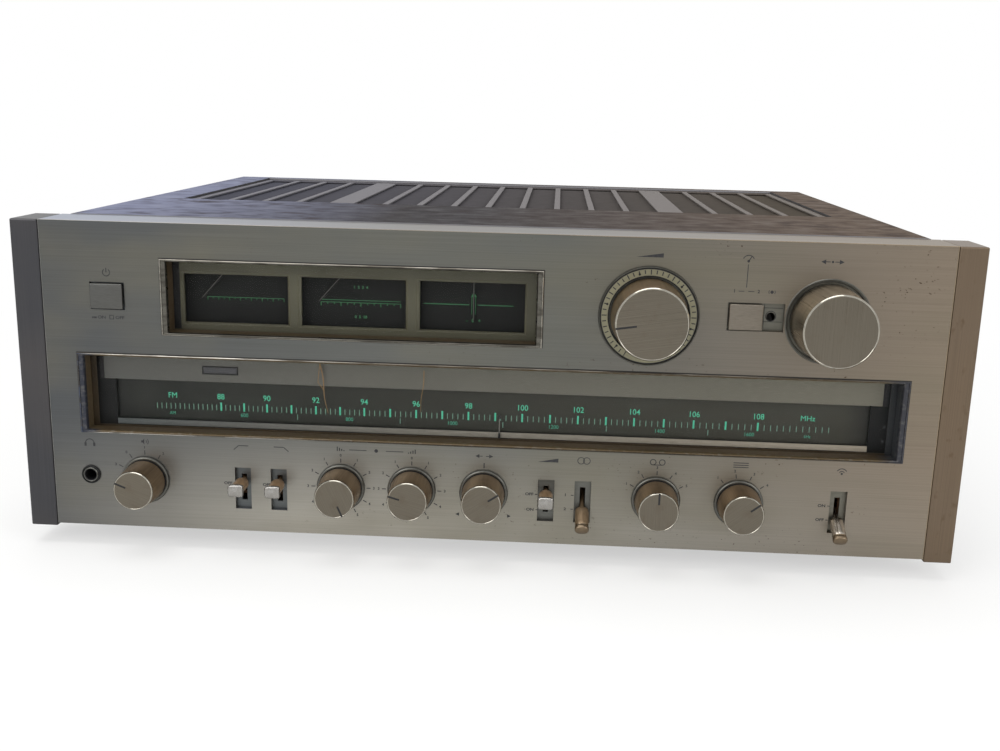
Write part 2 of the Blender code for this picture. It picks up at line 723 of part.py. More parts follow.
def build_vent_grille():
    """A steel plate with rows of slots in three groups of columns."""
    border = VENT_LAP + VENT_BORDER
    columns = sum(VENT_GROUPS)
    bars = columns - len(VENT_GROUPS)
    plate_half = vent_half + VENT_LAP
    room = 2 * (plate_half - border) - bars * VENT_BAR - (len(VENT_GROUPS) - 1) * VENT_GROUP_BAR
    slot_width = room / columns
    x_edges = [-plate_half]
    x = -plate_half + border
    for group in VENT_GROUPS:
        for i in range(group):
            x_edges += [x, x + slot_width]
            x += slot_width + VENT_BAR
        x += VENT_GROUP_BAR - VENT_BAR
    x_edges.append(plate_half)
    first, last = VENT_FRONT - VENT_LAP, vent_rear + VENT_LAP
    pitch = (last - first - 2 * border + VENT_ROW_BAR) / VENT_ROWS
    depth_edges = [first]
    for i in range(VENT_ROWS):
        start = first + border + i * pitch
        depth_edges += [start, start + pitch - VENT_ROW_BAR]
    depth_edges.append(last)

    high = cover_under - GAP
    bm = bmesh.new()
    corners = {}
    for layer, height in enumerate((high - STEEL, high)):
        for i, x in enumerate(x_edges):
            for j, depth in enumerate(depth_edges):
                corners[layer, i, j] = bm.verts.new(place(x, depth, height))

    def is_solid(i, j):
        inside = 0 <= i < len(x_edges) - 1 and 0 <= j < len(depth_edges) - 1
        return inside and not (i % 2 == 1 and j % 2 == 1)

    for i in range(len(x_edges) - 1):
        for j in range(len(depth_edges) - 1):
            if not is_solid(i, j):
                continue
            for layer in (0, 1):
                square = [(i, j), (i + 1, j), (i + 1, j + 1), (i, j + 1)]
                bm.faces.new([corners[layer, a, b] for a, b in square])
            sides = [
                ((i - 1, j), (i, j), (i, j + 1)),
                ((i + 1, j), (i + 1, j), (i + 1, j + 1)),
                ((i, j - 1), (i, j), (i + 1, j)),
                ((i, j + 1), (i, j + 1), (i + 1, j + 1)),
            ]
            for neighbour, a, b in sides:
                if not is_solid(*neighbour):
                    bm.faces.new([corners[0, *a], corners[0, *b], corners[1, *b], corners[1, *a]])
    add_object("vent_grille", bm, PAINTED_STEEL)


def build_bezel(name, view, sleeve_end):
    profile = [
        (0, 0, -BEZEL_PROUD),
        (BEZEL_SIDE, BEZEL_EDGE, -BEZEL_PROUD),
        (BEZEL_SIDE, BEZEL_EDGE, -GAP),
        (SLEEVE_WALL, SLEEVE_WALL, -GAP),
        (SLEEVE_WALL, SLEEVE_WALL, sleeve_end),
        (0, 0, sleeve_end),
    ]
    swept_frame(name, *view, profile, CHROME)


def build_tray(name, view, floor, look):
    """A tray behind the bracket plate, open to the front, whose floor lies at the depth given."""
    tray = view_box(name, grown(view, tray_inside + TRAY_WALL), behind_plate, floor + TRAY_FLOOR, look)
    cut(tray, view_box(f"{name}_hollow", grown(view, tray_inside), behind_plate - OVERRUN, floor))
    return tray


def meter_places():
    """The x of each meter's centre and the width that shows of it."""
    (left, _), (right, _) = meter_view
    width = (right - left - 2 * METER_SIDE_MARGIN - 2 * METER_SPACING) / 3
    first = left + METER_SIDE_MARGIN + width / 2
    return [first + i * (width + METER_SPACING) for i in range(3)], width


def build_meters():
    build_bezel("meter_bezel", meter_view, meter_sleeve_end)
    pane = grown(meter_view, tray_inside - GAP)
    view_box("meter_window", pane, meter_sleeve_end + GAP, RECESS - GAP, CLEAR_PANE)
    mask = build_tray("meter_mask", meter_view, RECESS, MASK_PLASTIC)
    centres, width = meter_places()
    low = meter_view[0][1] + METER_LOW_MARGIN
    high = meter_view[1][1] - METER_HIGH_MARGIN
    pivot = high + NEEDLE_PIVOT_RISE
    case_front = RECESS + TRAY_FLOOR + GAP
    face = case_front + METER_FACE_DEPTH
    names = ("left", "middle", "right")
    rest_angles = (NEEDLE_REST_ANGLE, NEEDLE_REST_ANGLE, 0.0)
    for name, x, rest in zip(names, centres, rest_angles):
        cut(mask, slot(f"{name}_view", x, (low + high) / 2, width, high - low, RECESS - OVERRUN, case_front))
        inner_half = width / 2 + METER_VIEW_MARGIN
        outer_half = inner_half + METER_CASE_WALL
        bottom = low - METER_VIEW_MARGIN
        top = pivot + NEEDLE_HUB_RADIUS + METER_VIEW_MARGIN
        case = box(
            f"{name}_meter",
            (x - outer_half, case_front, bottom - METER_CASE_WALL),
            (x + outer_half, case_front + METER_CASE_DEPTH, top + METER_CASE_WALL),
            DARK_PLASTIC,
        )
        chamber_low = (x - inner_half, case_front - OVERRUN, bottom)
        cut(case, box(f"{name}_chamber", chamber_low, (x + inner_half, face, top)))
        pin_front = face - METER_FACE_DEPTH / 2 - NEEDLE_HUB_RADIUS / 2
        join(case, hole(f"{name}_pin", x, pivot, NEEDLE_PIN_RADIUS, pin_front, face + METER_CASE_WALL, 12))
        build_needle(f"{name}_needle", x, pivot, face, rest)


def build_needle(name, x, pivot, face, rest):
    """A needle that hangs from its pivot, drawn hanging straight down and then turned to its rest."""
    origin = place(x, face, pivot)
    hub_back = -GAP - METER_FACE_DEPTH / 4
    hub_front = hub_back - METER_FACE_DEPTH / 3
    bore = NEEDLE_PIN_RADIUS + GAP
    rim = NEEDLE_HUB_RADIUS
    hub_profile = [(hub_front, bore), (hub_front, rim), (hub_back, rim), (hub_back, bore)]
    centre = (x, face, pivot)
    needle = turned(name, centre, "Y", hub_profile, NEEDLE_PAINT, 16, closed=True, origin=origin)
    middle = face + (hub_front + hub_back) / 2
    blade = box(
        f"{name}_blade",
        (x - NEEDLE_WIDTH / 2, middle - NEEDLE_THICKNESS / 2, pivot - NEEDLE_LENGTH),
        (x + NEEDLE_WIDTH / 2, middle + NEEDLE_THICKNESS / 2, pivot - (bore + NEEDLE_HUB_RADIUS) / 2),
        NEEDLE_PAINT,
        origin,
    )
    join(needle, blade)
    blade.parent = needle
    blade.matrix_parent_inverse = Matrix.Translation(-origin)
    needle.rotation_euler.y = rest


def build_dial():
    build_bezel("dial_bezel", dial_view, dial_sleeve_end)
    pane_view = grown(dial_view, tray_inside - GAP)
    view_box("dial_window", pane_view, dial_sleeve_end + GAP, dial_pane_back, CLEAR_PANE)
    frame = build_tray("dial_frame", dial_view, dial_floor, DARK_PLASTIC)
    (left, bottom), (right, top) = dial_view
    slot_low = bottom - tray_inside
    slot_high = slot_low + SLOT_HEIGHT
    rail_low = slot_high + GAP
    rail_high = rail_low + RAIL_HEIGHT
    header_low = top - HEADER_HEIGHT
    reach = PANEL_WIDTH * POINTER_END_SHARE + CARRIAGE_WIDTH / 2 + POINTER_END_CLEARANCE
    opening_half = dial_half - PILLAR_WIDTH
    back = dial_floor_back + OVERRUN
    front = dial_floor - OVERRUN
    cut(
        frame,
        box("scale_opening", (-opening_half, front, rail_high), (opening_half, back, header_low)),
        box("pointer_slot", (-reach, front, slot_low), (reach, back, slot_high)),
    )
    wheel_front = CORD_DEPTH - WHEEL_WIDTH / 2
    wheel_back = CORD_DEPTH + WHEEL_WIDTH / 2
    pin_profile = [
        (dial_floor + TRAY_FLOOR / 2, 0),
        (dial_floor + TRAY_FLOOR / 2, WHEEL_SHOULDER),
        (wheel_front - GAP, WHEEL_SHOULDER),
        (wheel_front - GAP, WHEEL_PIN_RADIUS),
        (wheel_back + GAP, WHEEL_PIN_RADIUS),
        (wheel_back + GAP, WHEEL_SHOULDER),
        (wheel_back + GAP + WHEEL_FLANGE, WHEEL_SHOULDER),
        (wheel_back + GAP + WHEEL_FLANGE, 0),
    ]
    join(frame, turned("idler_pin", (idler_x, 0, idler_height), "Y", pin_profile, sides=16))

    header = box(
        "dial_header",
        (left + HEADER_END, RECESS, header_low),
        (right - HEADER_END, RECESS + HEADER_THICKNESS, top + tray_inside - GAP),
        PANEL_ALUMINIUM,
    )
    lamp_x = PANEL_WIDTH * LAMP_CENTRE_SHARE
    lamp_height = header_low + LAMP_RISE + LAMP_HEIGHT / 2
    lamp_front = RECESS - OVERRUN
    cut(header, slot("lamp_opening", lamp_x, lamp_height, LAMP_WIDTH, LAMP_HEIGHT, lamp_front, dial_floor))
    rail_half = opening_half - GAP
    rail_end = (rail_half, dial_floor - GAP, rail_high)
    box("pointer_rail", (-rail_half, RECESS, rail_low), rail_end, PANEL_ALUMINIUM)
    scale_half = opening_half + SCALE_LAP
    scale_front = dial_floor_back + GAP
    box(
        "dial_scale",
        (-scale_half, scale_front, rail_high - SCALE_LAP),
        (scale_half, scale_front + SCALE_THICKNESS, header_low + SCALE_LAP),
        SCALE_PRINT,
    )
    build_pointer(slot_low, slot_high, rail_high)


def build_pointer(slot_low, slot_high, rail_high):
    """The pointer: a thin rod before the rail, a foot through the slot and a carriage on the cord."""
    x = PANEL_WIDTH * POINTER_REST_SHARE
    origin = place(x, CORD_DEPTH, cord_height)
    foot_low, foot_high = slot_low + GAP, slot_high - GAP
    block_front = dial_floor_back + GAP
    block_back = CORD_DEPTH + CARRIAGE_THICKNESS / 2
    half = CARRIAGE_WIDTH / 2
    pointer = box(
        "dial_pointer",
        (x - POINTER_WIDTH / 2, pointer_front, foot_low),
        (x + POINTER_WIDTH / 2, pointer_front + POINTER_THICKNESS, foot_low + POINTER_HEIGHT),
        NEEDLE_PAINT,
        origin,
    )
    overlap = POINTER_THICKNESS / 2
    foot = box(
        "pointer_foot",
        (x - POINTER_WIDTH, pointer_front + overlap, foot_low + overlap / 2),
        (x + POINTER_WIDTH, block_front + overlap, foot_high),
    )
    shelf_high = (x + half, block_back, foot_high + overlap / 4)
    shelf = box("pointer_shelf", (x - half, block_front, foot_low - overlap), shelf_high)
    clip_front = CORD_DEPTH - CARRIAGE_THICKNESS / 2
    clip = box(
        "pointer_clip",
        (x - half, clip_front, cord_height - CARRIAGE_THICKNESS / 2),
        (x + half, block_back - overlap / 4, foot_low),
    )
    join(pointer, foot, shelf, clip)
    reach = half + OVERRUN
    way = [(-reach, 0), (-reach, CORD_RADIUS + GAP), (reach, CORD_RADIUS + GAP), (reach, 0)]
    cut(pointer, turned("cord_way", (x, CORD_DEPTH, cord_height), "X", way, sides=12))


def wheel_profile(radius):
    """A grooved wheel's outer outline, from front to back, for a cord that runs at the radius given."""
    groove = radius - CORD_RADIUS - GAP
    rim = radius + WHEEL_RIM
    front, back = -WHEEL_WIDTH / 2, WHEEL_WIDTH / 2
    return [
        (front, rim),
        (front + WHEEL_FLANGE / 2, rim),
        (front + WHEEL_FLANGE, groove),
        (back - WHEEL_FLANGE, groove),
        (back - WHEEL_FLANGE / 2, rim),
        (back, rim),
    ]


def build_wheels():
    centre = (idler_x, CORD_DEPTH, idler_height)
    bore = WHEEL_PIN_RADIUS + GAP
    profile = [(-WHEEL_WIDTH / 2, bore)] + wheel_profile(IDLER_RADIUS) + [(WHEEL_WIDTH / 2, bore)]
    turned("cord_idler", centre, "Y", profile, NYLON, 20, closed=True, origin=place(*centre))
    centre = (drum_x, CORD_DEPTH, drum_height)
    shaft_back = GANG_FRONT + GANG_BUSH_DEPTH - GAP - CORD_DEPTH
    profile = [(-WHEEL_WIDTH / 2, 0)] + wheel_profile(DRUM_RADIUS)
    profile += [(WHEEL_WIDTH / 2, WHEEL_SHAFT_RADIUS), (shaft_back, WHEEL_SHAFT_RADIUS), (shaft_back, 0)]
    drum = turned("dial_drum", centre, "Y", profile, NYLON, 36, origin=place(*centre))
    for i in range(3):
        turn = 2 * math.pi * i / 3
        radius = (DRUM_RADIUS + WHEEL_SHAFT_RADIUS) / 2
        x, height = drum_x + radius * math.sin(turn), drum_height + radius * math.cos(turn)
        size = (DRUM_RADIUS - WHEEL_SHAFT_RADIUS) / 3
        front, back = CORD_DEPTH - WHEEL_WIDTH, CORD_DEPTH + WHEEL_WIDTH
        cut(drum, hole(f"drum_window_{i}", x, height, size, front, back, 16))


def build_tuning():
    origin = place(tuning_x, 0, upper_controls)
    face = -TUNING_LENGTH
    edge = face + KNOB_CHAMFER
    socket = SHAFT_RADIUS + GAP
    socket_end = face + TUNING_SOCKET_DEPTH
    profile = [
        (face, 0),
        (face, TUNING_FACE_RADIUS - KNOB_CHAMFER),
        (edge, TUNING_FACE_RADIUS),
        (TUNING_SINK, TUNING_BASE_RADIUS),
        (TUNING_SINK, socket),
        (socket_end, socket),
        (socket_end, 0),
    ]
    turned("tuning_knob", (tuning_x, 0, upper_controls), "Y", profile, KNOB_ALUMINIUM, 40, origin=origin)
    drive_front = CORD_DEPTH - DRIVE_LENGTH / 2
    drive_back = CORD_DEPTH + DRIVE_LENGTH / 2
    groove = DRIVE_RADIUS - CORD_RADIUS - GAP
    rim = DRIVE_RADIUS + WHEEL_RIM
    fly_back = FLYWHEEL_DEPTH + FLYWHEEL_THICKNESS
    profile = [
        (socket_end + GAP, 0),
        (socket_end + GAP, SHAFT_RADIUS),
        (drive_front - WHEEL_FLANGE, SHAFT_RADIUS),
        (drive_front - WHEEL_FLANGE, rim),
        (drive_front, rim),
        (drive_front, groove),
        (drive_back, groove),
        (drive_back, rim),
        (drive_back + WHEEL_FLANGE, rim),
        (drive_back + WHEEL_FLANGE, SHAFT_RADIUS),
        (FLYWHEEL_DEPTH, SHAFT_RADIUS),
        (FLYWHEEL_DEPTH, FLYWHEEL_RADIUS),
        (fly_back, FLYWHEEL_RADIUS),
        (fly_back, 0),
    ]
    turned("tuning_shaft", (tuning_x, 0, upper_controls), "Y", profile, ZINC_STEEL, 24, origin=origin)


def cord_route():
    """The loop of the dial cord: idler, drum, tuning shaft and back.

    Each wheel is (x, height, radius, sense).
    """
    wheels = [
        (idler_x, idler_height, IDLER_RADIUS, 1),
        (drum_x, drum_height, DRUM_RADIUS, 1),
        (tuning_x, upper_controls, DRIVE_RADIUS, -1),
    ]
    straights = []
    for i, first in enumerate(wheels):
        second = wheels[(i + 1) % len(wheels)]
        gap_x, gap_z = second[0] - first[0], second[1] - first[1]
        apart = math.hypot(gap_x, gap_z)
        heading = math.atan2(gap_z, gap_x)
        heading += math.asin((second[2] * second[3] - first[2] * first[3]) / -apart)
        straights.append(heading)
    points = []
    for i, (x, height, radius, sense) in enumerate(wheels):
        arriving, leaving = straights[i - 1], straights[i]
        turn = (leaving - arriving) * sense
        while turn < 0:
            turn += 2 * math.pi
        steps = max(4, math.ceil(turn * math.sqrt(radius / CORD_RADIUS)))
        outside = radius / math.cos(turn / steps / 2)
        for k in range(steps + 1):
            way = arriving + sense * turn * k / steps
            side = way - sense * math.pi / 2
            shift = 0.0
            if sense < 0:
                shift = CORD_SHIFT * (k / steps - 1 / 2)
            depth = CORD_DEPTH + shift
            points.append(place(x + outside * math.cos(side), depth, height + outside * math.sin(side)))
    return points


def build_cord():
    curve = bpy.data.curves.new("dial_cord", "CURVE")
    curve.dimensions = "3D"
    curve.bevel_depth = CORD_RADIUS
    curve.bevel_resolution = 1
    curve.render_resolution_u = 0
    spline = curve.splines.new("POLY")
    route = cord_route()
    spline.points.add(len(route) - 1)
    for point, there in zip(spline.points, route):
        point.co = (*there, 1.0)
    spline.use_cyclic_u = True
    curve.materials.append(CORD)
    cord = bpy.data.objects.new("dial_cord", curve)
    bpy.context.scene.collection.objects.link(cord)


def engrave(knob, x, height, face, radius):
    """A straight index line in the face of a knob, drawn pointing up."""
    line = box(
        f"{knob.name}_line",
        (x - POINTER_LINE_WIDTH / 2, face - OVERRUN, height + radius * (1 - POINTER_LINE_SHARE)),
        (x + POINTER_LINE_WIDTH / 2, face + POINTER_LINE_DEPTH, height + radius + OVERRUN),
        origin=knob.location,
    )
    cut(knob, line)
    line.parent = knob
    line.matrix_parent_inverse = Matrix.Translation(-knob.location)
    knob.rotation_euler.y = math.radians(KNOB_REST_DEGREES[knob.name])


def build_small_knobs():
    face = -SMALL_KNOB_LENGTH
    skirt_front = -KNOB_STAND_OFF - SMALL_SKIRT_THICKNESS
    profile = [
        (face, 0),
        (face, SMALL_KNOB_FACE_RADIUS - KNOB_CHAMFER),
        (face + KNOB_CHAMFER, SMALL_KNOB_FACE_RADIUS),
        (skirt_front - KNOB_GROOVE, SMALL_KNOB_BODY_RADIUS),
        (skirt_front, SMALL_KNOB_BODY_RADIUS - KNOB_GROOVE),
        (skirt_front, SMALL_SKIRT_RADIUS - KNOB_GROOVE),
        (skirt_front + KNOB_GROOVE, SMALL_SKIRT_RADIUS),
        (-KNOB_STAND_OFF, SMALL_SKIRT_RADIUS),
        (-KNOB_STAND_OFF, SPINDLE_RADIUS),
        (SPINDLE_DEPTH, SPINDLE_RADIUS),
        (SPINDLE_DEPTH, 0),
    ]
    for name, share in SMALL_KNOB_X_SHARES.items():
        x = PANEL_WIDTH * share
        origin = place(x, 0, lower_controls)
        knob = turned(name, (x, 0, lower_controls), "Y", profile, KNOB_ALUMINIUM, 24, origin=origin)
        engrave(knob, x, lower_controls, face, SMALL_KNOB_FACE_RADIUS)


def build_volume():
    bore, outer = VOLUME_RING_BORE, VOLUME_RING_RADIUS
    front = -GAP - VOLUME_RING_THICKNESS
    profile = [
        (front, bore),
        (front, outer - 2 * VOLUME_RING_RIM),
        (front - VOLUME_RING_RIM, outer - VOLUME_RING_RIM),
        (front - VOLUME_RING_RIM, outer - VOLUME_RING_RIM / 3),
        (front, outer),
        (-GAP, outer),
        (-GAP, bore + VOLUME_COLLAR_WALL),
        (PANEL_THICKNESS, bore + VOLUME_COLLAR_WALL),
        (PANEL_THICKNESS, bore),
    ]
    turned("volume_ring", (volume_x, 0, upper_controls), "Y", profile, CREAM_RING, 40, closed=True)
    face = -VOLUME_LENGTH
    profile = [
        (face, 0),
        (face, VOLUME_FACE_RADIUS - KNOB_CHAMFER),
        (face + KNOB_CHAMFER, VOLUME_FACE_RADIUS),
        (-KNOB_STAND_OFF, VOLUME_BASE_RADIUS),
        (-KNOB_STAND_OFF, SPINDLE_RADIUS),
        (SPINDLE_DEPTH, SPINDLE_RADIUS),
        (SPINDLE_DEPTH, 0),
    ]
    centre = (volume_x, 0, upper_controls)
    knob = turned("volume_knob", centre, "Y", profile, KNOB_ALUMINIUM, 40, origin=place(*centre))
    engrave(knob, volume_x, upper_controls, face, VOLUME_FACE_RADIUS)


def build_buttons():
    for name, x in (("power_button", power_x), ("meter_button", meter_button_x)):
        low = (x - BUTTON_WIDTH / 2, button_height - BUTTON_HEIGHT / 2)
        high = (x + BUTTON_WIDTH / 2, button_height + BUTTON_HEIGHT / 2)
        origin = place(x, 0, button_height)
        outline = rounded(low, high, BUTTON_CORNER)
        cap = extruded(name, outline, -BUTTON_PROUD, BUTTON_SINK, KNOB_ALUMINIUM, origin)
        front = -BUTTON_PROUD / 2
        join(cap, slot(f"{name}_stem", x, button_height, STEM_WIDTH, STEM_HEIGHT, front, STEM_DEPTH))


def lever_section(bm, x, reach, width, height, chamfer):
    """One eight-sided section of a lever, square to its length."""
    half_w, half_h = width / 2, height / 2
    side, top = half_w - chamfer, half_h - chamfer
    points = [(half_w, top), (side, half_h), (-side, half_h), (-half_w, top)]
    points += [(-half_w, -top), (-side, -half_h), (side, -half_h), (half_w, -top)]
    depth = LEVER_PIVOT_DEPTH - reach
    return [bm.verts.new(place(x + dx, depth, lever_pivot_height + dz)) for dx, dz in points]


def build_levers():
    soft = LEVER_BAT_HEIGHT / 4
    crisp = LEVER_BLADE_WIDTH / 8
    shoulder = LEVER_NECK + LEVER_BAT_HEIGHT / 2
    cap_start = LEVER_LENGTH - LEVER_CAP_THICKNESS
    sections = [
        (0, LEVER_BLADE_WIDTH, LEVER_BLADE_HEIGHT, crisp),
        (LEVER_NECK, LEVER_BLADE_WIDTH, LEVER_BLADE_HEIGHT, crisp),
        (shoulder, LEVER_BAT_WIDTH - soft, LEVER_BAT_HEIGHT, soft),
        (cap_start - 2 * LEVER_CAP_THICKNESS, LEVER_BAT_WIDTH, LEVER_BLADE_HEIGHT, soft),
        (cap_start, LEVER_CAP_WIDTH, LEVER_CAP_HEIGHT, soft),
        (LEVER_LENGTH - LEVER_CAP_THICKNESS / 2, LEVER_CAP_WIDTH, LEVER_CAP_HEIGHT, soft),
        (LEVER_LENGTH, LEVER_CAP_WIDTH - soft, LEVER_CAP_HEIGHT - soft, soft),
    ]
    for name, share in LEVER_X_SHARES.items():
        x = PANEL_WIDTH * share
        centre = (x, LEVER_PIVOT_DEPTH, lever_pivot_height)
        origin = place(*centre)
        bm = bmesh.new()
        rings = [lever_section(bm, x, *section) for section in sections]
        for first, second in zip(rings, rings[1:]):
            for i in range(8):
                j = (i + 1) % 8
                bm.faces.new((first[i], first[j], second[j], second[i]))
        bm.faces.new(rings[0])
        bm.faces.new(rings[-1])
        lever = add_object(name, bm, KNOB_ALUMINIUM, origin)
        half, radius = LEVER_BLADE_WIDTH / 2 + GAP / 4, LEVER_HUB_RADIUS
        pin_half, pin = LEVER_PIN_LENGTH / 2, LEVER_PIN_RADIUS
        hub_profile = [(-pin_half, 0), (-pin_half, pin), (-half, pin), (-half, radius)]
        hub_profile += [(half, radius), (half, pin), (pin_half, pin), (pin_half, 0)]
        hub = turned(f"{name}_hub", centre, "X", hub_profile, KNOB_ALUMINIUM, 16, origin=origin)
        join(lever, hub)
        hub.parent = lever
        hub.matrix_parent_inverse = Matrix.Translation(-origin)
        if name in LEVERS_DOWN:
            lever.rotation_euler.x = LEVER_THROW


def build_jack():
    nut_front = -GAP - JACK_NUT_THICKNESS
    profile = [
        (nut_front, 0),
        (nut_front, JACK_NUT_RADIUS),
        (-GAP, JACK_NUT_RADIUS),
        (-GAP, JACK_BARREL_RADIUS),
        (behind_plate + STEEL, JACK_BARREL_RADIUS),
        (behind_plate + STEEL, 0),
    ]
    jack = turned("headphone_jack", (jack_x, 0, jack_height), "Y", profile, CHROME, 24)
    wide = JACK_BODY_WIDTH
    join(jack, slot("jack_body", jack_x, jack_height, wide, wide, behind_plate, JACK_BODY_DEPTH))
    cut(jack, hole("jack_bore", jack_x, jack_height, JACK_BORE_RADIUS, nut_front - OVERRUN, JACK_BORE_DEPTH))


def build_control_board():
    controls = [PANEL_WIDTH * share for share in (*SMALL_KNOB_X_SHARES.values(), *LEVER_X_SHARES.values())]
    left = min(controls) - CONTROL_BOARD_LEFT_MARGIN
    right = max(controls) + CONTROL_BOARD_RIGHT_MARGIN
    front, back = CONTROL_BOARD_DEPTH, CONTROL_BOARD_DEPTH + BOARD_THICKNESS
    top = floor_seat + CONTROL_BOARD_HEIGHT
    board = box("control_board", (left, front, floor_seat), (right, back, top), PHENOLIC)
    inside = front + BOARD_THICKNESS / 2
    cutters = []
    for name, share in SMALL_KNOB_X_SHARES.items():
        x = PANEL_WIDTH * share
        join(board, hole(f"{name}_pot", x, lower_controls, POT_RADIUS, behind_plate, inside, 20))
        bore_end = SPINDLE_DEPTH + GAP
        radius = SPINDLE_RADIUS + GAP
        cutters.append(hole(f"{name}_bore", x, lower_controls, radius, behind_plate - OVERRUN, bore_end, 16))
    low = lever_pivot_height - LEVER_SWITCH_BELOW
    high = lever_pivot_height + LEVER_SWITCH_ABOVE
    for name, share in LEVER_X_SHARES.items():
        x = PANEL_WIDTH * share
        half = LEVER_SWITCH_WIDTH / 2
        join(board, box(f"{name}_switch", (x - half, LEVER_SWITCH_FRONT, low), (x + half, inside, high)))
        inner = LEVER_BLADE_WIDTH / 2 + 2 * GAP
        cavity_back = LEVER_PIVOT_DEPTH + LEVER_HUB_RADIUS + GAP
        cavity_low = (x - inner, LEVER_SWITCH_FRONT - OVERRUN, low + BOARD_THICKNESS)
        cavity_high = (x + inner, cavity_back, high - BOARD_THICKNESS)
        cutters.append(box(f"{name}_cavity", cavity_low, cavity_high))
        reach, radius = LEVER_PIN_LENGTH / 2 + GAP, LEVER_PIN_RADIUS + GAP
        way = [(-reach, 0), (-reach, radius), (reach, radius), (reach, 0)]
        centre = (x, LEVER_PIVOT_DEPTH, lever_pivot_height)
        cutters.append(turned(f"{name}_pin_way", centre, "X", way, sides=16))
    cut(board, *cutters)


def build_volume_board():
    wide, high = STEM_WIDTH + 2 * GAP, STEM_HEIGHT + 2 * GAP
    left = volume_x - VOLUME_POT_RADIUS - SWITCH_WALL
    right = meter_button_x + wide / 2 + 2 * SWITCH_WALL
    low = upper_controls - VOLUME_BOARD_HEIGHT / 2
    front, back = VOLUME_BOARD_DEPTH, VOLUME_BOARD_DEPTH + BOARD_THICKNESS
    board = box("volume_board", (left, front, low), (right, back, low + VOLUME_BOARD_HEIGHT), PHENOLIC)
    inside = front + BOARD_THICKNESS / 2
    pot = hole("volume_pot", volume_x, upper_controls, VOLUME_POT_RADIUS, behind_plate, inside)
    housing = slot(
        "meter_switch",
        meter_button_x,
        button_height,
        wide + 2 * SWITCH_WALL,
        high + 2 * SWITCH_WALL,
        behind_plate,
        inside,
    )
    join(board, pot, housing)
    front = behind_plate - OVERRUN
    bore = hole("volume_bore", volume_x, upper_controls, SPINDLE_RADIUS + GAP, front, SPINDLE_DEPTH + GAP, 16)
    back = STEM_DEPTH + BUTTON_TRAVEL + GAP
    way = slot("switch_way", meter_button_x, button_height, wide, high, front, back)
    cut(board, bore, way)


def build_gang():
    half = GANG_WIDTH / 2
    back = GANG_FRONT + GANG_DEPTH
    low = drum_height - GANG_BELOW
    high = drum_height + GANG_ABOVE
    gang = box("tuning_gang", (drum_x - half, GANG_FRONT, low), (drum_x + half, back, high), ZINC_STEEL)
    for i, x in enumerate((drum_x - half, drum_x + half - GANG_LEG)):
        for j, depth in enumerate((GANG_FRONT, back - GANG_LEG)):
            inset = GANG_LEG / 8
            start = (x + inset, depth + inset, floor_seat)
            end = (x + GANG_LEG - inset, depth + GANG_LEG - inset, low + GANG_LEG)
            join(gang, box(f"gang_leg_{i}{j}", start, end))
    bush = WHEEL_SHAFT_RADIUS + GAP
    bush_front, bush_back = GANG_FRONT - OVERRUN, GANG_FRONT + GANG_BUSH_DEPTH
    cut(gang, hole("gang_bush", drum_x, drum_height, bush, bush_front, bush_back, 24))


def build_transformer():
    x = PANEL_WIDTH * TRANSFORMER_X_SHARE
    back = rear_front - TRANSFORMER_REAR_ROOM
    front = back - TRANSFORMER_DEPTH
    half = TRANSFORMER_WIDTH / 2
    high = floor_seat + TRANSFORMER_HEIGHT
    core_low = (x - half, front + TRANSFORMER_BELL, floor_seat)
    core = box("power_transformer", core_low, (x + half, back - TRANSFORMER_BELL, high))
    inset = TRANSFORMER_BELL / 2
    bells = rounded((x - half + inset, floor_seat + inset), (x + half - inset, high - inset), inset)
    join(core, extruded("transformer_bells", bells, front, back, DARK_PLASTIC))


def build_main_board():
    x = PANEL_WIDTH * MAIN_BOARD_X_SHARE
    half = MAIN_BOARD_WIDTH / 2
    front, back = MAIN_BOARD_FRONT, heat_sink_front - MAIN_BOARD_REAR_ROOM
    low = floor_seat + MAIN_BOARD_RISE
    high = low + BOARD_THICKNESS
    board = box("main_board", (x - half, front, low), (x + half, back, high), PHENOLIC)
    leg = MAIN_BOARD_LEG
    for i, leg_x in enumerate((x - half + leg, x + half - 2 * leg)):
        for j, depth in enumerate((front + leg, back - 2 * leg)):
            post_high = (leg_x + leg, depth + leg, low + BOARD_THICKNESS / 2)
            join(board, box(f"board_leg_{i}{j}", (leg_x, depth, floor_seat), post_high))
    base = low + BOARD_THICKNESS / 2
    for i in range(2):
        capacitor_x = x - half + 2 * CAPACITOR_RADIUS + i * 5 * CAPACITOR_RADIUS / 2
        centre = (capacitor_x, (front + back) / 2, base)
        can = [(0, 0), (0, CAPACITOR_RADIUS), (CAPACITOR_HEIGHT, CAPACITOR_RADIUS), (CAPACITOR_HEIGHT, 0)]
        join(board, turned(f"capacitor_{i}", centre, "Z", can))
    relay = CAPACITOR_RADIUS
    for i in range(3):
        start = x + i * 2 * relay
        relay_high = (start + relay, back - relay, base + relay)
        join(board, box(f"relay_{i}", (start, back - 3 * relay, base), relay_high))


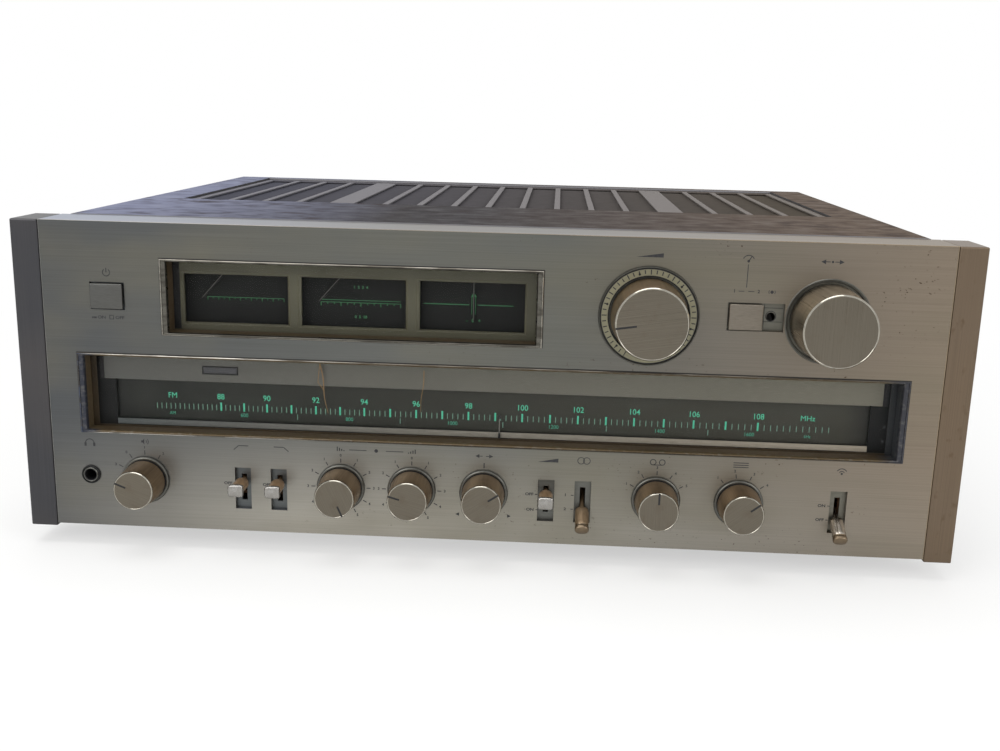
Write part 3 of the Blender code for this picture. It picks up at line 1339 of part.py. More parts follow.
def build_heat_sink():
    x = PANEL_WIDTH * HEAT_SINK_X_SHARE
    front, back = heat_sink_front, heat_sink_front + HEAT_SINK_DEPTH
    half = HEAT_SINK_WIDTH / 2
    pitch = (HEAT_SINK_WIDTH - HEAT_SINK_FIN) / (HEAT_SINK_FINS - 1)
    outline = [(x - half, front)]
    for i in range(HEAT_SINK_FINS):
        left = x - half + i * pitch
        if i:
            outline += [(left, front + HEAT_SINK_BASE), (left, back), (left + HEAT_SINK_FIN, back)]
        else:
            outline += [(left, back), (left + HEAT_SINK_FIN, back)]
        if i < HEAT_SINK_FINS - 1:
            outline.append((left + HEAT_SINK_FIN, front + HEAT_SINK_BASE))
    outline.append((x + half, front))
    bm = bmesh.new()
    low = [bm.verts.new(place(px, depth, floor_seat)) for px, depth in outline]
    high = [bm.verts.new(place(px, depth, floor_seat + HEAT_SINK_HEIGHT)) for px, depth in outline]
    bm.faces.new(low)
    bm.faces.new(high)
    for i in range(len(outline)):
        j = (i + 1) % len(outline)
        bm.faces.new((low[i], low[j], high[j], high[i]))
    add_object("heat_sink", bm, DARK_PLASTIC)


def build_rear():
    panel = box(
        "rear_panel",
        (-case_half, rear_front, chassis_low),
        (case_half, rear_face, cover_under - 2 * GAP - STEEL),
        ZINC_STEEL,
    )
    hinge_x = PANEL_WIDTH * ANTENNA_X_SHARE
    hinge_height = panel_low + ANTENNA_RISE
    knuckle_half = ANTENNA_RADIUS + GAP
    ear_near = knuckle_half + GAP
    ear_far = ear_near + EAR_THICKNESS
    for i, (low, high) in enumerate(((-ear_far, -ear_near), (ear_near, ear_far))):
        start = (hinge_x - EAR_WIDTH / 2, rear_face - STEEL / 2, hinge_height + low)
        end = (hinge_x + EAR_WIDTH / 2, rear_reach, hinge_height + high)
        join(panel, box(f"antenna_ear_{i}", start, end))
    reach = knuckle_half + GAP + EAR_THICKNESS / 2
    pin = [(-reach, 0), (-reach, ANTENNA_PIN_RADIUS), (reach, ANTENNA_PIN_RADIUS), (reach, 0)]
    hinge = (hinge_x, antenna_depth, hinge_height)
    join(panel, turned("antenna_pin", hinge, "Z", pin, sides=16))
    gland_x = PANEL_WIDTH * GLAND_X_SHARE
    gland_height = panel_low + GLAND_RISE
    front, back = rear_front - OVERRUN, rear_face + OVERRUN
    cut(panel, hole("gland_way", gland_x, gland_height, GLAND_RADIUS + GAP, front, back))

    bore = ANTENNA_PIN_RADIUS + GAP
    rim = ANTENNA_KNUCKLE_RADIUS
    knuckle = [(-knuckle_half, bore), (-knuckle_half, rim), (knuckle_half, rim), (knuckle_half, bore)]
    antenna = turned("bar_antenna", hinge, "Z", knuckle, DARK_PLASTIC, closed=True, origin=place(*hinge))
    start = -(bore + ANTENNA_KNUCKLE_RADIUS) / 2
    rod = [(-ANTENNA_LENGTH, 0), (-ANTENNA_LENGTH, ANTENNA_RADIUS), (start, ANTENNA_RADIUS), (start, 0)]
    rod_tool = turned("antenna_rod", hinge, "X", rod, DARK_PLASTIC, origin=place(*hinge))
    join(antenna, rod_tool)

    seat = rear_face + GAP
    gland = [
        (rear_front - GLAND_FLANGE, GLAND_BORE_RADIUS),
        (rear_front - GLAND_FLANGE, GLAND_RADIUS),
        (seat, GLAND_RADIUS),
        (seat, GLAND_FLANGE_RADIUS),
        (seat + GLAND_FLANGE, GLAND_FLANGE_RADIUS),
        (seat + GLAND_PROUD, GLAND_RADIUS),
        (seat + GLAND_PROUD, GLAND_BORE_RADIUS),
    ]
    turned("cord_gland", (gland_x, 0, gland_height), "Y", gland, RUBBER, closed=True)
    build_terminals(seat)


def build_terminals(seat):
    x = PANEL_WIDTH * SPEAKER_BLOCK_X_SHARE
    height = panel_low + SPEAKER_BLOCK_RISE
    half = SPEAKER_BLOCK_WIDTH / 2
    top = height + SPEAKER_BLOCK_HEIGHT
    outer = seat + TERMINAL_DEPTH
    block = box("speaker_terminals", (x - half, seat, height), (x + half, outer, top), DARK_PLASTIC)
    pitch = SPEAKER_BLOCK_WIDTH / SPEAKER_TABS
    row_pitch = SPEAKER_BLOCK_HEIGHT / 2
    tab_front, tab_back = outer - SPEAKER_TAB_PROUD, outer + SPEAKER_TAB_PROUD
    for i in range(SPEAKER_TABS):
        for j in range(2):
            tab_x, tab_z = x - half + (i + 1 / 2) * pitch, height + (j + 1 / 2) * row_pitch
            wide, high = SPEAKER_TAB_WIDTH, SPEAKER_TAB_HEIGHT
            join(block, slot(f"speaker_tab_{i}{j}", tab_x, tab_z, wide, high, tab_front, tab_back))

    x = PANEL_WIDTH * JACK_PANEL_X_SHARE
    height = panel_low + JACK_PANEL_RISE
    half = JACK_PANEL_WIDTH / 2
    outer = seat + JACK_PANEL_THICKNESS
    top = height + JACK_PANEL_HEIGHT
    strip = box("jack_panel", (x - half, seat, height), (x + half, outer, top), PHENOLIC)
    pitch = JACK_PANEL_WIDTH / PHONO_COLUMNS
    row_pitch = JACK_PANEL_HEIGHT / PHONO_ROWS
    for i in range(PHONO_COLUMNS):
        for j in range(PHONO_ROWS):
            jack_at = (x - half + (i + 1 / 2) * pitch, height + (j + 1 / 2) * row_pitch)
            middle = (seat + outer) / 2
            join(strip, hole(f"phono_{i}{j}", *jack_at, PHONO_RADIUS, middle, outer + PHONO_LENGTH, 14))

    x = PANEL_WIDTH * AERIAL_BLOCK_X_SHARE
    height = panel_low + AERIAL_BLOCK_RISE
    half = AERIAL_BLOCK_WIDTH / 2
    outer = seat + TERMINAL_DEPTH / 2
    top = height + AERIAL_BLOCK_HEIGHT
    block = box("antenna_terminals", (x - half, seat, height), (x + half, outer, top), DARK_PLASTIC)
    pitch = AERIAL_BLOCK_WIDTH / AERIAL_SCREWS
    for i in range(AERIAL_SCREWS):
        screw_x = x - half + (i + 1 / 2) * pitch
        middle = height + AERIAL_BLOCK_HEIGHT / 2
        front, back = outer - AERIAL_SCREW_PROUD, outer + AERIAL_SCREW_PROUD
        join(block, hole(f"aerial_screw_{i}", screw_x, middle, AERIAL_SCREW_RADIUS, front, back, 12))


build_front_panel()
build_cheeks()
build_front_bracket()
build_case()
build_vent_grille()
build_meters()
build_dial()
build_wheels()
build_tuning()
build_cord()
build_small_knobs()
build_volume()
build_buttons()
build_levers()
build_jack()
build_control_board()
build_volume_board()
build_gang()
build_transformer()
build_main_board()
build_heat_sink()
build_rear()
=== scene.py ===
"""The looks of a 1970s stereo receiver: finishes, printed scales, turned knobs, bat levers and vents.

Lengths below are in millimetres unless a name says otherwise. Places on the front are given as
(x, depth, height): x from the panel's centre, depth back from its face, height from its lower edge.
"""

import json
import math

import bmesh
import bpy
from mathutils import Matrix, Vector


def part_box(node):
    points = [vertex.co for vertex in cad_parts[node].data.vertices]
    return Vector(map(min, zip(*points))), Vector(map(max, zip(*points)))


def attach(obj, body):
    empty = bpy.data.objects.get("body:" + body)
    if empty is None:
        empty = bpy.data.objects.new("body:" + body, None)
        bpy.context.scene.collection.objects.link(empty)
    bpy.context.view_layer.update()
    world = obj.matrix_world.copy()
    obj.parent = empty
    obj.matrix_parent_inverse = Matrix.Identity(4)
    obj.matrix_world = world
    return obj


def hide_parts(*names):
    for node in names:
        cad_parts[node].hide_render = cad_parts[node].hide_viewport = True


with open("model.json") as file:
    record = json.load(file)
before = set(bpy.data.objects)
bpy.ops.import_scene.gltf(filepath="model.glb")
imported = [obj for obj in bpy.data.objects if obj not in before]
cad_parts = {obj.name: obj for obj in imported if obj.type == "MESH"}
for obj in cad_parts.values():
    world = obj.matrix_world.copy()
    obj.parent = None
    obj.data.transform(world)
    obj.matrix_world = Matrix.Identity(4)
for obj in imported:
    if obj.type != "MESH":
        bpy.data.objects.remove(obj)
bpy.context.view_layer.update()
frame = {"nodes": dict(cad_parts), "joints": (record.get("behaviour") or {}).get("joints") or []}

MM = 0.001
NODES = frame["nodes"]
PIVOTS = {joint["child"]: Vector(joint["pos_m"]) for joint in frame["joints"] if "pos_m" in joint}
panel_corner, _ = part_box("front_panel")
FRONT_M = panel_corner.y
LOW_EDGE_M = panel_corner.z

# The photograph's camera, from a fit to the panel, the cover and the knobs
CAMERA_PLACE = (34.5, -573.9, 229.2)
CAMERA_PITCH = math.radians(-13.389)
CAMERA_ROLL = math.radians(1.419)
CAMERA_YAW = math.radians(2.741)
CAMERA_LENS = 40.607


def at(x, depth, height):
    return Vector((x * MM, FRONT_M + depth * MM, LOW_EDGE_M + height * MM))


def in_mm(place):
    """A place in the frame as (x, depth, height) on the front."""
    return place.x / MM, (place.y - FRONT_M) / MM, (place.z - LOW_EDGE_M) / MM


def edges_of(node):
    """A node's lowest and highest corner, each as (x, depth, height)."""
    low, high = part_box(node)
    return in_mm(low), in_mm(high)


# Materials

# Each kind of shader node that is used, with the settings that it always has here
NODE_KINDS = {
    "coordinates": ("ShaderNodeTexCoord", {}),
    "surface": ("ShaderNodeNewGeometry", {}),
    "split": ("ShaderNodeSeparateXYZ", {}),
    "distance": ("ShaderNodeVectorMath", {"operation": "LENGTH"}),
    "fit": ("ShaderNodeMapping", {}),
    "noise": ("ShaderNodeTexNoise", {}),
    "range": ("ShaderNodeMapRange", {}),
    "times": ("ShaderNodeMath", {"operation": "MULTIPLY"}),
    "plus": ("ShaderNodeMath", {"operation": "ADD"}),
    "larger": ("ShaderNodeMath", {"operation": "MAXIMUM"}),
    "mix": ("ShaderNodeMix", {"data_type": "RGBA"}),
    "shade": ("ShaderNodeMix", {"data_type": "RGBA", "blend_type": "MULTIPLY"}),
    "bump": ("ShaderNodeBump", {}),
    "rays": ("ShaderNodeLightPath", {}),
    "glow": ("ShaderNodeEmission", {}),
    "either": ("ShaderNodeMixShader", {}),
}


def colour(code):
    """An sRGB hex value as linear red, green, blue and alpha."""
    parts = [int(code[i : i + 2], 16) / 255 for i in (0, 2, 4)]
    linear = [p / 12.92 if p <= 0.04045 else ((p + 0.055) / 1.055) ** 2.4 for p in parts]
    return (*linear, 1.0)


def feed(made, socket, value):
    """Gives a socket an output to link to, a hex colour or a plain value."""
    if isinstance(value, bpy.types.NodeSocket):
        made.node_tree.links.new(value, socket)
    else:
        socket.default_value = colour(value) if isinstance(value, str) else value


def add(made, kind, *values, output=None, **named):
    """Adds a node, feeds its open sockets in their order and others by name, and returns an output."""
    node_type, settings = NODE_KINDS[kind]
    node = made.node_tree.nodes.new(node_type)
    for setting, value in settings.items():
        setattr(node, setting, value)
    open_sockets = [socket for socket in node.inputs if socket.enabled]
    for socket, value in zip(open_sockets, values):
        feed(made, socket, value)
    for name, value in named.items():
        feed(made, node.inputs[name], value)
    if output:
        return node.outputs[output]
    return next(socket for socket in node.outputs if socket.enabled)


def drive(made, socket, value):
    feed(made, made.node_tree.nodes["Principled BSDF"].inputs[socket], value)


def new_material(name, code, roughness, metallic=0.0):
    made = bpy.data.materials.new(name)
    made.use_nodes = True
    drive(made, "Base Color", code)
    drive(made, "Roughness", roughness)
    drive(made, "Metallic", metallic)
    return made


def stretched_noise(made, length, height, depth, detail=2.0):
    """Noise whose grains measure length by depth by height, in millimetres, along X, Y and Z."""
    place = add(made, "coordinates", output="Object")
    grains = (1 / (length * MM), 1 / (depth * MM), 1 / (height * MM))
    return add(made, "noise", add(made, "fit", place, Scale=grains), Scale=1.0, Detail=detail)


def along(made, axis, start, end):
    """Goes from 0 to 1 between two places on an axis, in metres."""
    part = add(made, "split", add(made, "coordinates", output="Object"), output=axis)
    return add(made, "range", part, start, end)


def across(made, left, right):
    """Goes from 0 to 1 between two places along X, in millimetres."""
    return along(made, "X", left * MM, right * MM)


def facing(made, axis, low, high):
    """Goes from 0 to 1 as a face turns and its normal's part along an axis goes from low to high."""
    part = add(made, "split", add(made, "surface", output="Normal"), output=axis)
    return add(made, "range", part, low, high)


def facing_up(made):
    """Is 1 on faces that look up and 0 on upright ones."""
    return facing(made, "Z", 0.3, 0.8)


def lined(made, share, tone, grain, line_colour):
    """Draws the grain over a tone as fine lines, by a share of their darkness."""
    lines = add(made, "mix", add(made, "range", grain, 0.3, 0.7), line_colour, "ffffff")
    return add(made, "shade", share, tone, lines)


def grained(made, grain, smoothest, roughest, strength, rise):
    """Lets the grain vary the roughness and raise the surface, by a rise in millimetres."""
    drive(made, "Roughness", add(made, "range", grain, 0.3, 0.7, smoothest, roughest))
    drive(made, "Normal", add(made, "bump", strength, rise * MM, Height=grain))


def brushed_panel():
    """Brushed and anodised aluminium: a fine level grain, with painted light, cool at the left and warm at
    the right.
    """
    made = new_material("brushed_aluminium_panel", "6b6b66", 0.38, 0.9)
    # Real grain is about 0.1 mm wide, drawn 0.4 mm wide so that it shows
    grain = stretched_noise(made, 90, 0.4, 0.4, 4.0)
    cloud = stretched_noise(made, 110, 50, 50, 3.0)
    # Painted light: cool grey at the left and warm brown at the right, standing in for cool and warm lamps
    cool_side = add(made, "mix", across(made, -235, -40), "535557", "646562")
    side = add(made, "mix", across(made, 40, 235), cool_side, "84786a")
    right_fade = add(made, "range", across(made, -40, 230), 0, 1, 1, 0.2)
    middle = add(made, "times", across(made, -260, -100), right_fade)
    low_part = along(made, "Z", LOW_EDGE_M + 62 * MM, LOW_EDGE_M + 8 * MM)
    # A painted reflection: a brighter patch low in the middle, round the lower controls
    low_sheen = add(made, "mix", add(made, "times", middle, low_part), side, "a5a198")
    patina = add(made, "mix", add(made, "range", cloud, 0.45, 0.75, 0, 0.5), low_sheen, "75705f")
    brushed = lined(made, 0.55, patina, grain, "dededc")
    # Pits and specks of corrosion, about a millimetre across, mostly towards the right
    specks = add(made, "range", stretched_noise(made, 1.8, 1.4, 1.4, 2.0), 0.69, 0.73)
    spread = add(made, "range", stretched_noise(made, 55, 30, 30, 1.0), 0.5, 0.62)
    pits = add(made, "times", add(made, "times", specks, spread), across(made, -150, 120))
    pitted = add(made, "mix", pits, brushed, "3f3024")
    # Painted highlight: faces that look up, along the top flange, are lighter, bluish at the left and warm at
    # the right
    flange = add(made, "mix", across(made, -215, -40), "8a909e", "6b6864")
    flange = add(made, "mix", across(made, 40, 200), flange, "716350")
    drive(made, "Base Color", add(made, "mix", facing_up(made), pitted, flange))
    grained(made, grain, 0.34, 0.44, 0.08, 0.02)
    return made


def cast_cheek():
    """Satin anodised aluminium end cheek: darker than the panel, with painted light, greyer at the left and
    browner at the right.
    """
    made = new_material("satin_aluminium_cheek", "55514b", 0.42, 0.85)
    grain = stretched_noise(made, 0.5, 80, 0.5, 3.0)
    cloud = stretched_noise(made, 60, 60, 60, 2.0)
    # Painted light: greyer at the left and browner at the right, standing in for cool and warm lamps
    side = add(made, "mix", across(made, -100, 100), "444447", "6f6050")
    brushed = lined(made, 0.7, side, grain, "e2e2e2")
    worn = add(made, "range", stretched_noise(made, 5, 8, 5, 5.0), 0.6, 0.75, 0, 0.6)
    spotted = add(made, "times", worn, across(made, -100, 100))
    tone = add(made, "mix", add(made, "range", cloud, 0.4, 0.7, 0, 0.15), brushed, "6b625a")
    drive(made, "Base Color", add(made, "mix", spotted, tone, "54422f"))
    drive(made, "Normal", add(made, "bump", 0.06, 0.02 * MM, Height=grain))
    return made


def painted_cover():
    """Textured grey enamel on steel, dusty, with rust and grime on its top, painted light across the top and
    a painted highlight on its front face.
    """
    made = new_material("grey_enamel_cover", "4c4a4a", 0.6)
    dulled(made, 0.06)
    # Painted light and shade across the top: bluish at the left, near black through the middle, brown at the
    # right; upright faces stay plain grey
    cool_side = add(made, "mix", across(made, -215, -60), "6e7288", "221f22")
    top = add(made, "mix", across(made, -20, 200), cool_side, "4c3e32")
    side = add(made, "mix", facing_up(made), "4d4c4d", top)
    smear = stretched_noise(made, 16, 9, 12, 6.0)
    patch = add(made, "range", stretched_noise(made, 90, 60, 70, 2.0), 0.3, 0.6, 0, 0.8)
    worn = add(made, "times", add(made, "range", smear, 0.48, 0.66), patch)
    level = add(made, "range", facing_up(made), 0, 1, 0.12, 1.0)
    rusty = add(made, "mix", add(made, "times", worn, level), side, "2a2120")
    dust = stretched_noise(made, 1.4, 1.4, 1.4, 2.0)
    dusty = add(made, "mix", add(made, "range", dust, 0.5, 0.8, 0.0, 0.12), rusty, "807c78")
    # Painted highlight: faces that look forward, the thin front edge, turn light grey
    drive(made, "Base Color", add(made, "mix", facing(made, "Y", -0.5, -0.9), dusty, "929194"))
    drive(made, "Roughness", add(made, "range", smear, 0.3, 0.7, 0.5, 0.75))
    drive(made, "Normal", add(made, "bump", 0.1, 0.06 * MM, Height=dust))
    return made


def worn_chrome(name, code, chipped, rough=0.24, fading=0.6, tones=None):
    """Plated moulding, scuffed in patches that show the base below.

    The tones are those of its left end, of its right part from about the middle on, and of its right end:
    painted reflections, so that the base is bright only over the left part.
    """
    made = new_material(name, code, rough, 1.0)
    if tones:
        left_end, right_part, right_end = tones
        code = add(made, "mix", across(made, -217, -208), left_end, code)
        code = add(made, "mix", across(made, -150, -60), code, right_part)
        code = add(made, "mix", across(made, 205, 214), code, right_end)
    chips = stretched_noise(made, 16, 3, 3, 3.0)
    wear = add(made, "plus", chips, stretched_noise(made, 70, 40, 30, 2.0))
    worn = add(made, "mix", add(made, "range", wear, 0.96, 1.12, 0, fading), code, chipped)
    drive(made, "Base Color", worn)
    drive(made, "Roughness", add(made, "range", chips, 0.35, 0.7, rough - 0.06, rough + 0.2))
    return made


def turned_aluminium(name, code, roughness, grain_x, grain_y, grain_z, metallic=1.0):
    """Machined aluminium whose tool marks run along the longest of the three grain sizes."""
    made = new_material(name, code, roughness, metallic)
    marks = stretched_noise(made, grain_x, grain_z, grain_y, 3.0)
    grime = add(made, "range", stretched_noise(made, 6, 6, 6, 3.0), 0.55, 0.8, 0.0, 0.35)
    marked = lined(made, 0.85, code, marks, "dad8d4")
    drive(made, "Base Color", add(made, "mix", grime, marked, "5b5044"))
    grained(made, marks, roughness - 0.04, roughness + 0.07, 0.06, 0.01)
    return made


def fine_finish(name, code, roughness, grain, darker, metallic=0.0, bump=0.1):
    """A surface with an even fine grain, in millimetres, that varies a little towards a darker tone."""
    made = new_material(name, code, roughness, metallic)
    speckle = stretched_noise(made, grain, grain, grain, 3.0)
    cloud = stretched_noise(made, grain * 30, grain * 30, grain * 30, 2.0)
    tone = add(made, "mix", add(made, "range", cloud, 0.3, 0.7), code, darker)
    speckled = add(made, "mix", add(made, "range", speckle, 0.35, 0.75, 0.0, 0.3), tone, darker)
    drive(made, "Base Color", speckled)
    grained(made, speckle, roughness - 0.05, roughness + 0.08, bump, 0.04)
    return made


def dulled(made, level):
    """Lowers how much a finish mirrors its surroundings."""
    drive(made, "Specular IOR Level", level)
    return made


def window_pane():
    """Clear acrylic sheet: nearly invisible, with a faint sheen."""
    made = dulled(new_material("clear_acrylic_pane", "262725", 0.06), 0.3)
    drive(made, "Alpha", 0.04)
    made.surface_render_method = "BLENDED"
    return made


def side_toned(name, cool, warm, roughness, grain, metallic):
    """A satin surface with a fine grain and painted light, cooler at the left of the panel and warmer at the
    right.
    """
    made = new_material(name, cool, roughness, metallic)
    speckle = stretched_noise(made, grain * 8, grain, grain, 3.0)
    # Painted light: the tint from cool at the left to warm at the right stands in for cool and warm lamps
    tone = add(made, "mix", across(made, -205, 190), cool, warm)
    drive(made, "Base Color", lined(made, 0.8, tone, speckle, "e0e0de"))
    grained(made, speckle, roughness - 0.04, roughness + 0.06, 0.08, 0.02)
    return made


def end_toned(name, left, middle, right, roughness, metallic, mottling):
    """A mottled moulding with one tone at its left end, one at its right end and a third between them, all
    painted reflections.
    """
    made = new_material(name, middle, roughness, metallic)
    mottle = stretched_noise(made, 2.5, 2.0, 2.0, 4.0)
    tone = add(made, "mix", across(made, -212, -207), left, middle)
    tone = add(made, "mix", across(made, 205, 214), tone, right)
    mottled = add(made, "mix", add(made, "range", mottle, 0.5, 0.72, 0, mottling), tone, "85827c")
    drive(made, "Base Color", mottled)
    return made


def smoked_scale():
    """The dial's smoked scale: green grey, darker at the left, and painted shade nearly black at both of its
    ends.
    """
    made = dulled(new_material("smoked_dial_scale", "30322d", 0.35), 0.25)
    haze = add(made, "range", stretched_noise(made, 40, 8, 8, 3.0), 0.45, 0.7, 0, 0.25)
    tone = add(made, "mix", across(made, -170, 120), "242622", "3c3b33")
    # Painted shade: the scale turns nearly black towards both ends
    ends = add(made, "times", across(made, -206, -190), across(made, 208, 190))
    cloudy = add(made, "mix", haze, tone, "454842")
    drive(made, "Base Color", add(made, "mix", ends, "151615", cloudy))
    return made


def printed_ink(name, code, wear, glow=0.0):
    """Screen printing ink, rubbed thin in places so that it looks a little faded, with an optional painted
    glow.
    """
    made = new_material(name, code, 0.6)
    rub = stretched_noise(made, 1.6, 1.6, 1.6, 3.0)
    drive(made, "Base Color", add(made, "mix", add(made, "range", rub, 0.45, 0.75, 0.0, 0.7), code, wear))
    drive(made, "Emission Color", code)
    drive(made, "Emission Strength", glow)
    return made


# The large forms: grained, tarnished metal and dusty enamel
PANEL = brushed_panel()
CHEEK = cast_cheek()
COVER = painted_cover()
# Bright chromed beads that catch the light, worn to a dull base in patches
METER_BEAD = worn_chrome("worn_meter_bead", "8b8880", "4c4841", 0.2, 0.7)
# The dial bead's tones are painted reflections: bright over its left part, dark from the middle on, bluish at
# its left end
DIAL_BEAD = worn_chrome("worn_dial_bead", "b8b5ad", "47433c", 0.2, 0.8, ("4a4f5c", "5f5b54", "46464c"))
# The dial bezel's slope and inner wall: dark, with a warm painted reflection about the middle and cool ones
# at the ends
BEZEL_SLOPE = end_toned("dulled_chrome_slope", "292c36", "54462f", "2f3036", 0.45, 0.4, 0.3)
BEZEL_WALL = end_toned("brown_bezel_wall", "4c402c", "403320", "2f3235", 0.5, 0.0, 0.12)
# The meter bezel's slope, a greyer and lighter chrome
METER_SLOPE = worn_chrome("worn_meter_slope", "5f5d57", "3b3832", 0.3, 0.7)
# Plated screws and sockets, the shiny points of the back
NICKEL = worn_chrome("nickel_plate", "8d8c88", "4a4440")
# A thin bright line round the panel: a polished bevel whose brightness is partly a painted highlight
POLISHED_EDGE_HIGHLIGHT = side_toned("polished_edge", "908f8d", "a8977f", 0.2, 4.0, 1.0)
# Knobs: a dark brushed face, tan sides that are a painted reflection of warm surroundings, a bright cut rim
# and a grey skirt
KNOB_FACE = turned_aluminium("brushed_knob_face", "6e685e", 0.3, 0.3, 4.0, 60.0)
KNOB_SIDE = turned_aluminium("satin_knob_side", "a38c72", 0.34, 5.0, 30.0, 0.5)
TUNING_SIDE = turned_aluminium("satin_tuning_side", "b8ac99", 0.3, 5.0, 40.0, 0.5)
KNOB_EDGE = turned_aluminium("cut_knob_edge", "aaa69c", 0.14, 3.0, 3.0, 3.0)
KNOB_SKIRT = turned_aluminium("spun_knob_skirt", "62625e", 0.34, 3.0, 0.6, 3.0)
# Levers: tan, brown or silver bats with bright or dull tips
LEVER_TAN = turned_aluminium("tan_lever_bat", "9c7f60", 0.34, 3.0, 8.0, 0.8, 0.5)
LEVER_BROWN = turned_aluminium("brown_lever", "7f6b52", 0.4, 2.0, 4.0, 0.8, 0.5)
LEVER_SILVER = turned_aluminium("silver_lever", "b4ada3", 0.24, 2.0, 20.0, 2.0)
LEVER_TIP = turned_aluminium("bright_lever_tip", "9c9a97", 0.24, 3.0, 3.0, 3.0)
LEVER_DULL_TIP = turned_aluminium("dull_lever_tip", "7a6c5a", 0.34, 3.0, 3.0, 3.0)
# Satin buttons and dial strip, and the pale paint of the pointer's rail, tinted cool to warm by painted light
BUTTON_METAL = side_toned("brushed_button", "5a5a58", "7f776c", 0.38, 0.4, 0.9)
STRIP_METAL = side_toned("brushed_dial_strip", "60605d", "78756a", 0.4, 0.5, 0.8)
RAIL_PAINT = side_toned("rail_paint", "666c6c", "c0b5a3", 0.45, 0.8, 0.3)
# Steel: dull zinc behind the openings, kept dark as painted shade there, grey enamel at the rear, brown grey
# over the vents, all tinted cool to warm by painted light
ZINC = side_toned("zinc_plated_steel", "5a5f63", "6d6b62", 0.4, 1.2, 0.8)
REAR_GREY = side_toned("grey_rear_enamel", "5c5c5c", "605f5d", 0.5, 1.2, 0.3)
ENAMEL_BAR = side_toned("vent_enamel", "54535c", "524941", 0.6, 1.2, 0.0)
LOUVRE_PAINT = side_toned("dark_louvre_enamel", "5c5d69", "625a50", 0.6, 1.2, 0.0)
# The meter mask's olive enamel, a touch lighter on the lips of its openings as a painted highlight
OLIVE = fine_finish("olive_mask_enamel", "545240", 0.5, 0.9, "494736", 0.0, 0.03)
OLIVE_LIP = fine_finish("olive_mask_lip", "59563f", 0.45, 0.9, "4c4936")
# The darks: a smoky lens, black meter faces, the smoked scale and black mouldings
LAMP_LENS = fine_finish("smoked_lamp_lens", "4b4b4f", 0.35, 0.6, "3f3f42", 0.0, 0.02)
METER_BLACK = dulled(fine_finish("meter_face_black", "1a1b1a", 0.6, 3.0, "161716", 0.0, 0.0), 0.2)
SCALE_SMOKE = smoked_scale()
FRAME_BLACK = dulled(fine_finish("moulded_dark_frame", "191a1a", 0.55, 0.7, "131414", 0.0, 0.03), 0.25)
SOOT = fine_finish("black_moulding", "131315", 0.55, 0.6, "0b0b0d")
# The cream ring, the one light form beside the volume knob
CREAM = fine_finish("cream_scale_ring", "86836d", 0.4, 0.9, "78755f", 0.3)
# Pale hairlines of the needles and of the pointer
NEEDLE_PAINT = fine_finish("needle_paint", "6d6c66", 0.4, 0.5, "5c5b55")
POINTER_PAINT = fine_finish("pointer_paint", "8f8d84", 0.4, 0.5, "7a786f")
# Rubber, fibre board, nylon and twine, for what stands below, behind or inside
RUBBER = fine_finish("moulded_rubber", "1d1d1e", 0.75, 0.6, "141414")
PHENOLIC = fine_finish("phenolic_board", "6b4a2b", 0.55, 1.1, "523619")
NYLON = fine_finish("moulded_nylon", "c9c5b8", 0.45, 0.8, "b2ad9c")
TWINE = fine_finish("twisted_dial_cord", "9b9078", 0.85, 0.4, "6e664f")
# Coloured insulators and push levers on the back
RED_PLASTIC = fine_finish("red_moulding", "8e2a22", 0.4, 0.7, "6f1f1a")
IVORY_PLASTIC = fine_finish("ivory_moulding", "c7c2b2", 0.4, 0.7, "aaa592")
# Black anodising with a little sheen on the heat sink
SINK_BLACK = fine_finish("black_anodised_sink", "202224", 0.45, 0.9, "17181a", 0.6)
# Panes that hardly show
CLEAR = window_pane()
# Printing: black on the panel, green in the windows and fainter where marks are small; the green inks have a
# faint painted glow
BLACK_INK = printed_ink("black_printing_ink", "1b1b1f", "3a3a3a")
GREEN_INK = printed_ink("green_dial_ink", "4fc09a", "3fa081", 0.1)
FINE_GREEN_INK = printed_ink("fine_green_dial_ink", "6f9a86", "587a6b", 0.03)
LOW_GREEN_INK = printed_ink("low_green_dial_ink", "46a888", "388a70", 0.06)
DIM_GREEN_INK = printed_ink("dim_green_meter_ink", "2f7346", "24563a", 0.08)
# Dirt in the cracks of the dial's pane
CRACK_BROWN = printed_ink("rust_brown_crack", "7d6038", "5a452a")
# Pale outlines on the back
PALE_INK = printed_ink("pale_rear_ink", "b9b7b0", "8f8d87")
# The border behind the dial's pane, brown at its left and grey at its right: painted reflections
BORDER_BROWN = fine_finish("brown_pane_border", "41341f", 0.5, 1.2, "352a1a", 0.0, 0.0)
BORDER_GREY = fine_finish("grey_pane_border", "303336", 0.5, 1.2, "26282a", 0.0, 0.0)


def dress(node, look):
    """Gives a solid of the frame its finish."""
    solid = NODES[node].data
    if not solid.materials:
        solid.materials.append(look)
    for index in range(len(solid.materials)):
        solid.materials[index] = look


# Building meshes


def piece(name, bm, looks, body="case", origin=None, turn=None):
    """Makes an object from a mesh whose points are in metres about its origin, and puts it on its body."""
    mesh = bpy.data.meshes.new(name)
    bm.to_mesh(mesh)
    bm.free()
    for look in looks:
        mesh.materials.append(look)
    made = bpy.data.objects.new(name, mesh)
    bpy.context.scene.collection.objects.link(made)
    made.location = origin or Vector()
    if turn:
        made.rotation_euler = turn
    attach(made, body)
    return made


def smooth(made, degrees=35):
    made.data.shade_smooth()
    made.data.set_sharp_from_angle(angle=math.radians(degrees))


def settled(made):
    """Applies an object's modifiers to its mesh."""
    graph = bpy.context.evaluated_depsgraph_get()
    result = bpy.data.meshes.new_from_object(made.evaluated_get(graph))
    made.modifiers.clear()
    made.data = result


def rounded_edges(made, width, segments=3):
    edge = made.modifiers.new("rounded edges", "BEVEL")
    edge.width = width * MM
    edge.segments = segments
    edge.limit_method = "ANGLE"
    settled(made)


